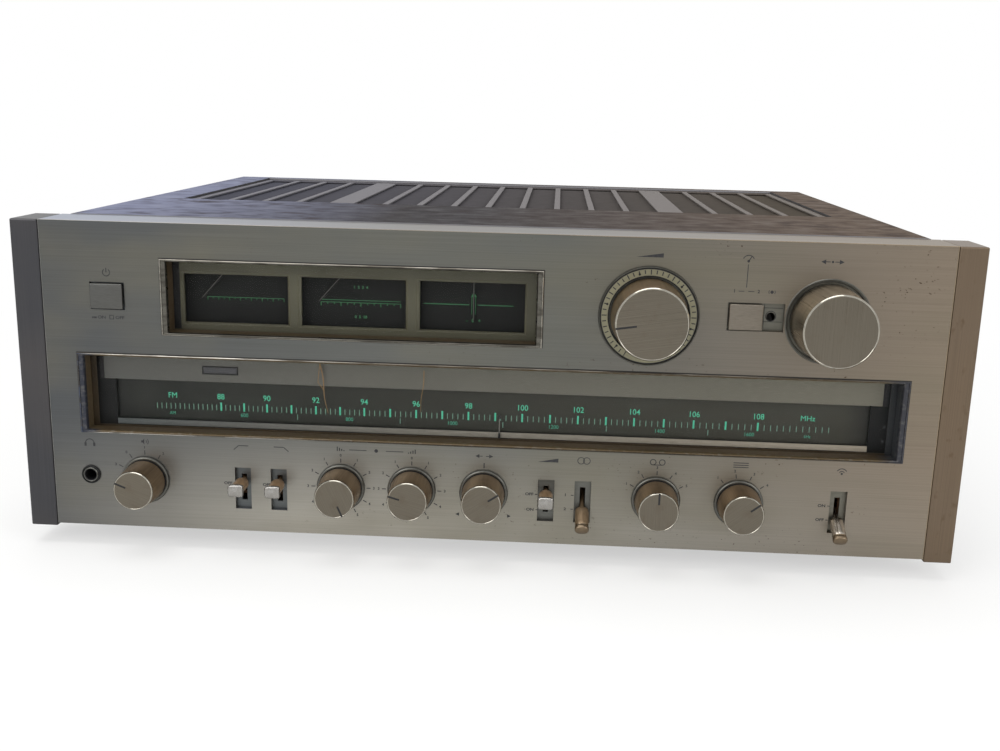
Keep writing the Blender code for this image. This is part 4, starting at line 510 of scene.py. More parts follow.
def add_block(bm, low, high, look=0):
    """Adds a block between two places in metres."""
    middle, size = (low + high) / 2, high - low
    fitted = Matrix.Translation(middle) @ Matrix.Diagonal((*size, 1))
    verts = bmesh.ops.create_cube(bm, size=1.0, matrix=fitted)["verts"]
    for face in {f for v in verts for f in v.link_faces}:
        face.material_index = look
    return verts


def block_between(bm, low, high, look=0):
    """Adds a block between two (x, depth, height) places."""
    return add_block(bm, at(*low), at(*high), look)


def add_turned(bm, profile, sides=64, centre=None, axis="Y", closed=False):
    """Adds a turned form about an axis.

    Profile points are (distance along the axis, radius, look of the stretch that follows).
    """
    centre = centre or Vector()
    ahead = Vector((1, 0, 0)) if axis == "X" else Vector((0, 1, 0))
    upward = Vector((0, 0, 1))
    sideways = ahead.cross(upward)
    turns = [2 * math.pi * i / sides for i in range(sides)]
    rim = [upward * math.cos(t) + sideways * math.sin(t) for t in turns]
    rings = []
    for distance, radius, _ in profile:
        middle = centre + ahead * distance * MM
        ways = rim if radius else [Vector()]
        rings.append([bm.verts.new(middle + way * radius * MM) for way in ways])
    count = len(rings) if closed else len(rings) - 1
    for k in range(count):
        first, second = rings[k], rings[(k + 1) % len(rings)]
        for i in range(sides):
            j = i + 1
            near = [first[i % len(first)], first[j % len(first)]]
            far = [second[j % len(second)], second[i % len(second)]]
            face = bm.faces.new(list(dict.fromkeys(near + far)))
            face.material_index = profile[k][2]
    bmesh.ops.recalc_face_normals(bm, faces=bm.faces)


def add_frame(bm, low, high, profile):
    """Adds a closed frame round a rectangle. Profile points are (side growth, edge growth, depth, look)."""
    rings = []
    for grow_x, grow_z, depth, _ in profile:
        corners = [
            (low[0] - grow_x, low[1] - grow_z),
            (high[0] + grow_x, low[1] - grow_z),
            (high[0] + grow_x, high[1] + grow_z),
            (low[0] - grow_x, high[1] + grow_z),
        ]
        rings.append([bm.verts.new(at(x, depth, z)) for x, z in corners])
    for k, (first, second) in enumerate(zip(rings, rings[1:] + rings[:1])):
        for i in range(4):
            j = (i + 1) % 4
            face = bm.faces.new((first[i], first[j], second[j], second[i]))
            face.material_index = profile[k][3]
    bmesh.ops.recalc_face_normals(bm, faces=bm.faces)


# Printing, as thin shapes on a surface


def flat_shape(bm, points, depth, look=0):
    """Adds a flat printed shape from (x, height) points."""
    face = bm.faces.new([bm.verts.new(at(x, depth, z)) for x, z in points])
    face.material_index = look
    face.normal_update()
    if face.normal.y > 0:
        face.normal_flip()


def bar(bm, start, end, width, depth, look=0):
    """Adds a straight printed line between two (x, height) points."""
    line = Vector(end) - Vector(start)
    side = Vector((-line.y, line.x)).normalized() * width / 2
    first, last = Vector(start), Vector(end)
    flat_shape(bm, [first + side, last + side, last - side, first - side], depth, look)


def ray(bm, centre, clock, near, far, width, depth, look=0):
    """Adds a printed line that points at a clock angle, in degrees from the top, from near to far."""
    way = Vector((math.sin(math.radians(clock)), math.cos(math.radians(clock))))
    middle = Vector(centre)
    bar(bm, middle + way * near, middle + way * far, width, depth, look)


def arc(bm, centre, radius, start, stop, width, depth, look=0, steps=24):
    """Adds a printed arc between two clock angles."""
    turns = [math.radians(start + (stop - start) * i / steps) for i in range(steps + 1)]
    middle = Vector(centre)
    outer = [middle + Vector((math.sin(t), math.cos(t))) * (radius + width / 2) for t in turns]
    inner = [middle + Vector((math.sin(t), math.cos(t))) * (radius - width / 2) for t in turns]
    for i in range(steps):
        flat_shape(bm, [outer[i], outer[i + 1], inner[i + 1], inner[i]], depth, look)


def disc(bm, centre, radius, depth, look=0, sides=20):
    turns = [2 * math.pi * i / sides for i in range(sides)]
    points = [(centre[0] + radius * math.cos(t), centre[1] + radius * math.sin(t)) for t in turns]
    flat_shape(bm, points, depth, look)


# The height of a capital in the built-in letters, as a share of their size
CAPITAL_SHARE = 0.7


def words(bm, text, centre, height, depth, look=0, stretch=1.0, weight=0.035):
    """Adds generic lettering, centred on (x, height), whose capitals have the height given."""
    curve = bpy.data.curves.new("lettering", "FONT")
    curve.body = text
    curve.align_x = "CENTER"
    curve.align_y = "CENTER"
    curve.size = 1.0
    curve.resolution_u = 3
    curve.offset = weight
    shape = bpy.data.objects.new("lettering", curve)
    mesh = bpy.data.meshes.new_from_object(shape)
    scale = height / CAPITAL_SHARE
    start = len(bm.verts)
    bm.from_mesh(mesh)
    bm.verts.ensure_lookup_table()
    fresh = bm.verts[start:]
    for vert in fresh:
        vert.co = at(centre[0] + vert.co.x * scale * stretch, depth, centre[1] + vert.co.y * scale)
    for face in {f for v in fresh for f in v.link_faces}:
        face.material_index = look
        face.normal_update()
        if face.normal.y > 0:
            face.normal_flip()
    bpy.data.objects.remove(shape)
    bpy.data.meshes.remove(mesh)
    bpy.data.curves.remove(curve)


# Front panel


def knob_centre(body):
    x, _, height = in_mm(PIVOTS[body])
    return x, height


# Where the signs over the lower controls stand, and how far off the panel's face its ink lies
TITLE_HEIGHT = 47.5
INK = -0.03
# How far the mask's face lies behind its front, and a meter's face behind its case's front
MASK_FLOOR = 1.5
METER_FACE_DEPTH = 4.5


def speaker_sign(bm, x, z, size):
    flat_shape(bm, [(x - size, z - size / 3), (x - size / 2, z - size / 3), (x, z - size), (x, z + size),
                    (x - size / 2, z + size / 3), (x - size, z + size / 3)], INK)
    for reach in (0.7, 1.3):
        arc(bm, (x, z), size * reach, 50, 130, 0.4, INK, steps=8)


def slope_sign(bm, x, z, size, rising):
    """A filter's response curve: level, then falling away at one end."""
    side = -1 if rising else 1
    bar(bm, (x - side * size, z + size / 4), (x + side * size / 3, z + size / 4), 0.45, INK)
    bar(bm, (x + side * size / 3, z + size / 4), (x + side * size, z - size / 3), 0.45, INK)


def wedge_sign(bm, x, z, width, height):
    left, right, low, high = x - width / 2, x + width / 2, z - height / 2, z + height / 2
    flat_shape(bm, [(left, low), (right, low), (right, high)], INK)


def arrows_sign(bm, x, z, size, gap):
    for side in (-1, 1):
        tip, root = x + side * (gap + size), x + side * gap
        flat_shape(bm, [(tip, z), (root, z + size / 2), (root, z - size / 2)], INK)
        bar(bm, (root, z), (x + side * gap / 3, z), 0.4, INK)


def scale_marks(bm, centre, angles, near, far, numbers=(), letters=0.0):
    """Radial marks round a knob, with plain numbers beyond them."""
    for angle in angles:
        ray(bm, centre, angle, near, far, 0.5, INK)
    for angle, number in numbers:
        turn = math.radians(angle)
        place = (centre[0] + math.sin(turn) * letters, centre[1] + math.cos(turn) * letters)
        words(bm, number, place, 1.4, INK)


def print_upper_signs(bm):
    """Signs by the large knobs and both buttons, and ON and OFF below the power button."""
    wedge_sign(bm, 81.6, 158.0, 14.0, 2.2)
    arrows_sign(bm, 173.4, 157.3, 2.4, 3.4)
    disc(bm, (173.4, 157.3), 0.6, INK)
    arc(bm, (131.4, 156.4), 3.0, -65, 65, 0.45, INK, steps=10)
    bar(bm, (131.4, 156.4), (133.0, 159.0), 0.45, INK)
    disc(bm, (131.4, 156.4), 0.7, INK)
    bar(bm, (131.4, 154.8), (131.3, 143.0), 0.4, INK)
    words(bm, "1", (125.4, 141.0), 1.6, INK)
    words(bm, "2", (137.6, 141.0), 1.6, INK)
    bar(bm, (127.4, 141.0), (130.3, 141.0), 0.35, INK)
    bar(bm, (132.3, 141.0), (135.4, 141.0), 0.35, INK)
    disc(bm, (144.3, 141.0), 0.85, INK)
    for side in (-1, 1):
        arc(bm, (144.3, 141.0), 1.6, side * 90 - 35, side * 90 + 35, 0.3, INK, steps=6)
    arc(bm, (-200.3, 140.2), 1.9, 35, 325, 0.5, INK)
    bar(bm, (-200.3, 140.2), (-200.3, 142.6), 0.55, INK)
    flat_shape(bm, [(-209.2, 115.6), (-206.6, 115.6), (-206.6, 116.6), (-209.2, 116.6)], INK)
    words(bm, "ON", (-203.9, 116.3), 1.6, INK, stretch=1.2)
    for start, end in (((-199.6, 115.5), (-197.6, 115.5)), ((-199.6, 117.5), (-197.6, 117.5)),
                       ((-199.6, 115.3), (-199.6, 117.7)), ((-197.6, 115.3), (-197.6, 117.7))):
        bar(bm, start, end, 0.4, INK)
    words(bm, "OFF", (-194.2, 116.3), 1.6, INK, stretch=1.2)


def print_lower_signs(bm):
    """Signs over the headphone socket, knobs and levers, with marks and plain numbers round the knobs."""
    arc(bm, (-214.6, 46.6), 2.4, -90, 90, 0.5, INK)
    for side in (-1, 1):
        bar(bm, (-214.6 + side * 2.4, 45.0), (-214.6 + side * 2.4, 47.0), 1.2, INK)
    centre = knob_centre("speakers_knob")
    speaker_sign(bm, centre[0], TITLE_HEIGHT + 1.2, 1.7)
    scale_marks(bm, centre, (-62, -31, 0, 31), 13.9, 16.4,
                ((-64, "3"), (-34, "0"), (0, "1"), (34, "2")), 18.1)
    slope_sign(bm, -131.6, TITLE_HEIGHT, 4.0, True)
    slope_sign(bm, -109.8, TITLE_HEIGHT, 4.0, False)
    tone_angles = [-150 + 30 * i for i in range(11)]
    labels = ("5", "4", "3", "2", "1", "0", "1", "2", "3", "4", "5")
    for body in ("bass_knob", "treble_knob"):
        centre = knob_centre(body)
        scale_marks(bm, centre, tone_angles, 13.9, 16.1, list(zip(tone_angles, labels)), 17.9)
    bass_x, treble_x = knob_centre("bass_knob")[0], knob_centre("treble_knob")[0]
    for x, low in ((bass_x, True), (treble_x, False)):
        for i in range(4):
            tall = (4 - i if low else i + 1) * 0.6
            foot = (x - 1.8 + i * 1.2, TITLE_HEIGHT + 0.2)
            bar(bm, foot, (foot[0], foot[1] + tall), 0.6, INK)
    bar(bm, (bass_x + 4.6, TITLE_HEIGHT + 1), (bass_x + 14, TITLE_HEIGHT + 1), 0.4, INK)
    bar(bm, (treble_x - 14, TITLE_HEIGHT + 1), (treble_x - 4.6, TITLE_HEIGHT + 1), 0.4, INK)
    disc(bm, ((bass_x + treble_x) / 2, TITLE_HEIGHT + 1), 1.0, INK)
    centre = knob_centre("balance_knob")
    arrows_sign(bm, centre[0], TITLE_HEIGHT + 0.4, 2.2, 2.6)
    ray(bm, centre, 0, 13.9, 16.8, 0.6, INK)
    for side in (-1, 1):
        x, z = centre[0] + side * 13.0, centre[1] - 12.6
        flat_shape(bm, [(x + side * 2.0, z), (x, z + 1.0), (x, z - 1.0)], INK)
    wedge_sign(bm, 33.7, TITLE_HEIGHT - 0.4, 11.0, 2.2)
    for shift in (-1.5, 1.5):
        arc(bm, (52.8 + shift, TITLE_HEIGHT), 1.8, 0, 360, 0.4, INK)
    centre = knob_centre("tape_knob")
    for shift in (-2.4, 2.4):
        arc(bm, (centre[0] + shift, TITLE_HEIGHT + 0.8), 1.5, 0, 360, 0.45, INK)
    bar(bm, (centre[0] - 2.4, TITLE_HEIGHT - 0.7), (centre[0] + 2.4, TITLE_HEIGHT - 0.7), 0.45, INK)
    scale_marks(bm, centre, (-60, -30, 0, 30, 60), 13.9, 16.2,
                ((-62, "1"), (-33, "2"), (0, "3"), (33, "4"), (62, "5")), 18.0)
    centre = knob_centre("function_knob")
    for i in range(3):
        level = TITLE_HEIGHT - 0.2 + i * 1.2
        bar(bm, (centre[0] - 4, level), (centre[0] + 4, level), 0.45, INK)
    scale_marks(bm, centre, (-38, -8, 22, 52), 13.9, 16.2,
                ((-40, "1"), (-9, "2"), (24, "3"), (54, "4")), 18.0)
    for radius in (1.4, 2.8):
        arc(bm, (188.1, 45.9), radius, -60, 60, 0.45, INK, steps=10)
    disc(bm, (188.1, 45.9), 0.6, INK)


def print_switch_words(bm):
    """ON, OFF or a number beside each lever's positions, with a short line to it."""
    switches = ((-139.2, 27.0, "OFF"), (-118.0, 26.9, "OFF"), (24.3, 27.7, "OFF"), (24.9, 19.0, "ON"),
                (43.6, 28.0, "1"), (43.6, 20.1, "2"), (179.2, 27.8, "ON"), (178.8, 19.9, "OFF"))
    for x, z, text in switches:
        words(bm, text, (x, z), 1.5, INK, stretch=1.2)
        bar(bm, (x + 3.0, z), (x + 4.4, z), 0.45, INK)


def build_printing():
    """All the marks on the panel: plain signs, numbers round the knobs and ON or OFF by the switches."""
    bm = bmesh.new()
    print_upper_signs(bm)
    print_lower_signs(bm)
    print_switch_words(bm)
    piece("panel_printing", bm, [BLACK_INK])


def build_polished_edges():
    """The bright broken edges along the panel's top and down both of its ends: polished bevels, partly a
    painted highlight.
    """
    (left, _, low), (right, _, high) = edges_of("front_panel")
    bm = bmesh.new()
    block_between(bm, (left, -0.1, high - 0.3), (right, 0.4, high + 0.06))
    for x in (left, right):
        block_between(bm, (x - 0.1, -0.1, low), (x + 0.18, 0.3, high - 0.3))
    made = piece("polished_panel_edges", bm, [POLISHED_EDGE_HIGHLIGHT])
    rounded_edges(made, 0.1, 2)


def build_plate_details():
    """Painted shade: black lines in the seams pressed in the plated steel that shows beside the meter button,
    and a black ring.
    """
    depth = edges_of("front_bracket")[0][1] - 0.04
    bm = bmesh.new()
    for height in (125.2, 132.4):
        bar(bm, (140.6, height), (151.0, height), 0.3, depth)
    bar(bm, (141.6, 121.5), (141.6, 134.2), 0.25, depth)
    arc(bm, (145.1, 128.1), 2.6, 0, 360, 0.35, depth)
    piece("plate_seams", bm, [SOOT])


def build_tuning_recess():
    """The turned lining of the hole that the tuning knob sinks into, with a thin black band of painted shade
    just inside its rim.
    """
    x, height = knob_centre("tuning")
    metal, dark = range(2)
    profile = [
        (2.4, 20.6, metal),
        (0.6, 20.5, dark),
        (0.1, 20.9, metal),
        (-0.32, 21.5, metal),
        (-0.3, 21.9, metal),
        (-0.04, 22.2, metal),
        (-0.04, 20.85, metal),
        (2.4, 20.85, metal),
    ]
    bm = bmesh.new()
    add_turned(bm, profile, 96, closed=True)
    smooth(piece("tuning_recess_lining", bm, [KNOB_SKIRT, SOOT], origin=at(x, 0, height)))


# Bezels, windows and the dial


def build_bezel(node, name, slope_look, bead_look):
    """A chromed bezel with an outer bead, a groove and an inner lip, round the opening of its solid."""
    (left, front, bottom), (right, back, top) = edges_of(node)
    side, edge = 3.6, 1.6
    low, high = (left + side, bottom + edge), (right - side, top - edge)
    wall, slope, bead = range(3)
    profile = [
        (0, 0, back, wall),
        (0, 0, 1.8, slope),
        (0.25, 0.1, 0.7, slope),
        (0.6, 0.22, 0.0, slope),
        (1.2, 0.4, -0.3, slope),
        (2.5, 0.8, front + 0.3, slope),
        (2.65, 0.95, front + 0.35, bead),
        (2.8, 1.1, front + 0.05, bead),
        (3.2, 1.35, front, bead),
        (side - 0.15, edge - 0.1, front + 0.15, wall),
        (side, edge, front + 0.5, wall),
        (side, edge, -0.02, wall),
        (0.8, 0.8, -0.02, wall),
        (0.8, 0.8, back, wall),
    ]
    bm = bmesh.new()
    add_frame(bm, low, high, profile)
    made = piece(name, bm, [BEZEL_WALL, slope_look, bead_look])
    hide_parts(node)


def build_bezel_gaps():
    """A painted shadow line between the panel and each bezel, along the bezel's top and down both of its
    sides.
    """
    bm = bmesh.new()
    for node in ("meter_bezel", "dial_bezel"):
        (left, _, bottom), (right, _, top) = edges_of(node)
        bar(bm, (left - 0.3, top + 0.2), (right + 0.3, top + 0.2), 0.6, INK)
        for x in (left - 0.15, right + 0.15):
            bar(bm, (x, bottom), (x, top), 0.35, INK)
    piece("bezel_shadow_lines", bm, [SOOT])


def build_pane_borders():
    """The brown and grey border behind the dial's pane, a painted reflection, and black painted shade at the
    ends of the strip and the meter mask.

    Two small screw heads show on the dial frame's right pillar.
    """
    back = edges_of("dial_window")[1][1]
    (left, strip, bottom), (right, _, top) = edges_of("dial_header")
    bm = bmesh.new()
    block_between(bm, (left - 5.0, back + 0.05, 53.1), (left - 1.2, back + 0.17, top - 0.2), 0)
    block_between(bm, (left - 1.2, back + 0.05, 53.1), (right + 0.8, back + 0.17, 55.0), 0)
    block_between(bm, (right + 0.8, back + 0.05, 53.1), (right + 5.0, back + 0.17, top - 0.2), 1)
    meter_back = edges_of("meter_window")[1][1]
    block_between(bm, (-169.5, meter_back + 0.05, 109.5), (-165.4, meter_back + 0.17, 146.5), 2)
    block_between(bm, (left - 0.2, strip - 0.1, bottom - 0.1), (left + 2.2, strip, top - 0.2), 2)
    block_between(bm, (right - 2.4, strip - 0.1, bottom - 0.1), (right + 0.2, strip, top - 0.2), 2)
    for x, height in ((211.4, 68.6), (211.1, 60.8)):
        disc(bm, (x, height), 0.8, 13.0, 1)
    piece("pane_borders", bm, [BORDER_BROWN, BORDER_GREY, SOOT])


FM_MARKS = ((88, -146.2), (90, -120.8), (92, -93.8), (94, -67.2), (96, -38.8), (98, -10.3),
            (100, 18.9), (102, 49.0), (104, 79.2), (106, 111.1), (108, 145.3))
AM_MARKS = ((600, -133.4), (800, -75.4), (1000, -19.0), (1200, 35.9), (1400, 93.1), (1600, 140.9))


def build_dial_printing():
    """The tuning scale: green divisions, the plain frequencies above and below them, and the units."""
    depth = edges_of("dial_scale")[0][1] - 0.06
    bm = bmesh.new()
    for number, x in FM_MARKS:
        words(bm, str(number), (x, 71.2), 3.1, depth, stretch=0.95, weight=0.004)
    places = [x for _, x in FM_MARKS]
    steps = [(places[i + 1] - places[i]) / 10 for i in range(len(places) - 1)]
    ticks = [(places[0] - steps[0] * i, i) for i in range(15, 0, -1)]
    for i, step in enumerate(steps):
        ticks += [(places[i] + step * k, k) for k in range(10)]
    ticks += [(places[-1] + steps[-1] * i, i) for i in range(12)]
    for x, k in ticks:
        if x < -184 or x > 184:
            continue
        inside = places[0] - 0.1 <= x <= places[-1] + 0.1
        major = inside and k % 5 == 0
        low, high = (63.4, 68.0) if major else (63.6, 66.8)
        bar(bm, (x, low), (x, high), 0.95 if major else 0.4, depth, 0 if major else 1)
    for number, x in AM_MARKS:
        words(bm, str(number), (x, 61.2), 2.1, depth, 2, stretch=0.95, weight=0)
    for x in (-104.0, -47.5, 8.5, 64.5, 119.0):
        bar(bm, (x, 59.9), (x, 62.9), 0.45, depth, 1)
    words(bm, "FM", (-172.9, 71.2), 3.1, depth, stretch=0.95, weight=0)
    words(bm, "MHz", (171.4, 71.2), 2.9, depth, stretch=1.0, weight=0)
    words(bm, "AM", (-173.3, 61.2), 1.8, depth, 2, stretch=0.9, weight=0)
    words(bm, "kHz", (171.9, 61.2), 1.7, depth, 2, stretch=0.9, weight=0)
    piece("dial_printing", bm, [GREEN_INK, FINE_GREEN_INK, LOW_GREEN_INK])


def build_indicator():
    """The long smoked lens of the stereo lamp in its slot in the dial's strip, with a thin frame."""
    left, right, bottom, top, depth = -155.0, -135.6, 84.5, 88.8, 12.0
    rim, lens = range(2)
    profile = [
        (0, 0, depth + 0.5, lens),
        (0, 0, depth - 0.25, rim),
        (0.7, 0.7, depth - 0.25, rim),
        (0.7, 0.7, depth + 0.5, lens),
    ]
    bm = bmesh.new()
    add_frame(bm, (left + 0.5, bottom + 0.5), (right - 0.5, top - 0.5), profile)
    block_between(bm, (left + 0.6, depth + 0.1, bottom + 0.6), (right - 0.6, depth + 0.7, top - 0.6), lens)
    made = piece("indicator_lens", bm, [SOOT, LAMP_LENS])
    rounded_edges(made, 0.12, 2)


def build_pointer_details():
    """A light line down the pointer's rod, the dark clip at its top and the dark shoe over the rail."""
    (left, front, _), (right, _, top) = edges_of("dial_pointer")
    middle = (left + right) / 2
    (_, _, rail_low), (_, _, rail_high) = edges_of("pointer_rail")
    line = bmesh.new()
    block_between(line, (middle - 0.22, front - 0.08, rail_high), (middle + 0.22, front + 0.3, top - 1.9))
    piece("pointer_line", line, [POINTER_PAINT], "dial_pointer")
    bm = bmesh.new()
    block_between(bm, (middle - 0.8, front - 0.25, top - 2.1), (middle + 0.8, front + 1.0, top - 0.1))
    shoe_low, shoe_high = rail_low - 0.4, rail_high - 0.7
    block_between(bm, (middle - 0.6, front - 0.2, shoe_low), (middle + 0.6, front + 0.5, shoe_high))
    rounded_edges(piece("pointer_clip", bm, [SOOT], "dial_pointer"), 0.2)


def build_needle_lines():
    """A hairline along each meter needle, the only part of it that shows behind the dark pane."""
    for needle, start, end in (("left_needle", (-154.6, 126.0), (-135.0, 148.1)),
                               ("middle_needle", (-91.5, 126.0), (-71.9, 148.1)),
                               ("right_needle", (-8.64, 118.2), (-8.64, 149.0))):
        bm = bmesh.new()
        bar(bm, start, end, 0.24, edges_of(needle)[0][1] - 0.06)
        piece(needle + "_line", bm, [NEEDLE_PAINT], needle)


def wandering(start, end, sway, phase, steps=14):
    """Points from start to end that wander a little to both sides."""
    points = []
    for i in range(steps + 1):
        share = i / steps
        offset = sway * math.sin(phase + 5.0 * share) * math.sin(math.pi * share)
        x = start[0] + (end[0] - start[0]) * share + offset
        points.append((x, start[1] + (end[1] - start[1]) * share))
    return points


# Each is (start, end, width, sway)
CRACKS = (
    ((-90.4, 94.6), (-85.8, 66.0), 0.6, 0.8),
    ((-34.0, 91.5), (-35.6, 68.5), 0.45, 0.5),
)
CRACK_BRANCHES = (((-90.2, 92.4), (-91.2, 83.0)), ((-91.2, 83.0), (-88.2, 79.0)))


def build_cracks():
    """Two hairline cracks in the dial's pane, brown with dirt."""
    depth = edges_of("dial_window")[0][1] - 0.05
    bm = bmesh.new()
    for start, end, width, sway in CRACKS:
        points = wandering(start, end, sway, 0.6)
        for i, (first, last) in enumerate(zip(points, points[1:])):
            bar(bm, first, last, width * (1.1 - 0.05 * i), depth)
    for first, last in CRACK_BRANCHES:
        bar(bm, first, last, 0.35, depth)
    piece("pane_cracks", bm, [CRACK_BROWN])


def build_mask_lips():
    """The bevel round each of the three openings in the meter mask, lighter as a painted highlight."""
    low_edge, high_edge = 113.0, 139.3
    front = edges_of("meter_mask")[1][1] - MASK_FLOOR
    # Each is (growth outwards, depth behind the mask's face)
    section = ((0, 1.4), (0, 0.5), (0.9, -0.15), (1.2, -0.15), (1.3, 0.2), (0.3, 1.4))
    profile = [(growth, growth, front + depth, 0) for growth, depth in section]
    bm = bmesh.new()
    for left, right in ((-163.8, -107.4), (-101.0, -44.4), (-37.9, 18.7)):
        add_frame(bm, (left, low_edge), (right, high_edge), profile)
    piece("meter_mask_lips", bm, [OLIVE_LIP])


def build_meter_printing():
    """The green scales of the three meters: marks along a line, plain numbers and a centre arrow."""
    depth = edges_of("left_meter")[0][1] + METER_FACE_DEPTH - 0.06
    bm = bmesh.new()
    left, right, level = -152.5, -111.0, 126.1
    bar(bm, (left, level), (right, level), 0.28, depth)
    for i in range(15):
        x = left + (right - left) * i / 14
        drop = 1.8 if i % 2 == 0 else 1.1
        bar(bm, (x, level), (x, level - drop), 0.35, depth)
    left, right, level = -90.9, -47.9, 126.6
    for height in (level, level - 1.3):
        bar(bm, (left, height), (right, height), 0.3, depth)
    for i in range(13):
        x = left + (right - left) * i / 12
        bar(bm, (x, level - 1.3), (x, level - (3.4 if i % 3 == 0 else 2.5)), 0.4, depth)
    words(bm, "1  2  3  4", ((left + right) / 2, 133.6), 1.5, depth)
    words(bm, "0  5  10", ((left + right) / 2, 117.6), 1.5, depth)
    for first, last in (((-35.6, 126.2), (-11.2, 126.2)), ((-6.6, 126.2), (12.4, 126.2))):
        bar(bm, first, last, 0.5, depth)
    middle = -8.8
    flat_shape(bm, [(middle - 1.7, 130.4), (middle + 1.7, 130.4), (middle, 133.0)], depth)
    for shift in (-1.0, 1.0):
        bar(bm, (middle + shift, 121.0), (middle + shift, 130.4), 0.3, depth)
    words(bm, "-   0   +", (middle, 117.6), 1.8, depth)
    piece("meter_printing", bm, [DIM_GREEN_INK])


# Knobs, buttons and levers

KNOB_REST_DEGREES = {
    "speakers_knob": -68,
    "bass_knob": 156,
    "treble_knob": -74,
    "balance_knob": 56,
    "tape_knob": 0,
    "function_knob": 52,
    "volume_knob": -98.5,
}
# DARK is black: painted shade in the groove above a knob's skirt or at its foot, and the hidden back
FACE, EDGE, SIDE, SKIRT, DARK = range(5)
KNOB_LOOKS = [KNOB_FACE, KNOB_EDGE, KNOB_SIDE, KNOB_SKIRT, SOOT]


INDEX_WIDTH = 1.0
INDEX_DEPTH = 0.3
# Where the index line ends towards the middle, as a share of the radius
INDEX_START = 0.42
# How far the cutter stands out past the face and the rim
CUTTER_ROOM = 1


def cut_line(made, radius, face):
    """Cuts the index line into a knob's face, from the rim inwards, with a dark floor."""
    bm = bmesh.new()
    low = Vector((-INDEX_WIDTH / 2, face - CUTTER_ROOM, radius * INDEX_START)) * MM
    high = Vector((INDEX_WIDTH / 2, face + INDEX_DEPTH, radius + CUTTER_ROOM)) * MM
    add_block(bm, low, high)
    mesh = bpy.data.meshes.new("line_cutter")
    bm.to_mesh(mesh)
    bm.free()
    mesh.materials.append(SOOT)
    cutter = bpy.data.objects.new("line_cutter", mesh)
    bpy.context.scene.collection.objects.link(cutter)
    cutter.matrix_world = made.matrix_world
    bpy.context.view_layer.update()
    cut = made.modifiers.new("index line", "BOOLEAN")
    cut.operation = "DIFFERENCE"
    cut.solver = "EXACT"
    cut.material_mode = "TRANSFER"
    cut.object = cutter
    settled(made)
    bpy.data.objects.remove(cutter)


def build_knob(body, profile, face_radius, face, looks=KNOB_LOOKS):
    x, height = knob_centre(body)
    turn = (0, math.radians(KNOB_REST_DEGREES.get(body, 0)), 0)
    bm = bmesh.new()
    add_turned(bm, profile, 96)
    made = piece(f"{body}_turned", bm, looks, body, at(x, 0, height), turn)
    if body in KNOB_REST_DEGREES:
        cut_line(made, face_radius, face)
    smooth(made, 28)
    return made


def small_knob_profile():
    """From the middle of the face out over the cut edge, down the body, a groove painted black as shade, and
    the skirt.
    """
    return [
        (-19.9, 0, FACE),
        (-19.9, 9.85, EDGE),
        (-20.0, 10.0, EDGE),
        (-19.95, 10.2, EDGE),
        (-19.6, 10.52, EDGE),
        (-19.3, 10.6, SIDE),
        (-3.1, 11.4, SIDE),
        (-2.9, 11.2, DARK),
        (-2.9, 10.5, DARK),
        (-1.5, 10.5, DARK),
        (-1.5, 11.5, SKIRT),
        (-1.8, 11.7, SKIRT),
        (-1.8, 12.3, SKIRT),
        (-1.55, 12.75, SKIRT),
        (-1.1, 13.0, SKIRT),
        (-0.5, 13.0, DARK),
        (-0.5, 3, DARK),
        (17.4, 3, DARK),
        (17.4, 0, DARK),
    ]


def large_knob_profile(length, face_radius, base_radius, foot):
    return [
        (-length + 0.12, 0, FACE),
        (-length + 0.12, face_radius - 0.85, EDGE),
        (-length, face_radius - 0.68, EDGE),
        (-length + 0.04, face_radius - 0.42, EDGE),
        (-length + 0.5, face_radius, EDGE),
        (-length + 0.85, face_radius + 0.08, SIDE),
        (foot - 1.6, base_radius, SIDE),
        (foot - 1.2, base_radius - 0.3, DARK),
        (foot - 0.9, base_radius - 1.2, DARK),
        (foot, base_radius - 1.2, DARK),
        (foot, 3, DARK),
        (foot + 3, 3, DARK),
        (foot + 3, 0, DARK),
    ]


def build_knobs():
    for body in ("speakers_knob", "bass_knob", "treble_knob", "balance_knob", "tape_knob", "function_knob"):
        made = build_knob(body, small_knob_profile(), 10.0, -20.0)
        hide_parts(body)
    made = build_knob("volume_knob", large_knob_profile(24.6, 18.4, 19.7, -0.5), 18.2, -24.6)
    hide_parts("volume_knob")
    looks = [KNOB_FACE, KNOB_EDGE, TUNING_SIDE, KNOB_SKIRT, SOOT]
    made = build_knob("tuning", large_knob_profile(28.0, 18.45, 19.4, 1.0), 18.4, -28.0, looks)
    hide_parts("tuning_knob")


RING_FACE = -1.3
RING_MARKS = 41
RING_START_DEGREES = -150
RING_SWEEP_DEGREES = 300


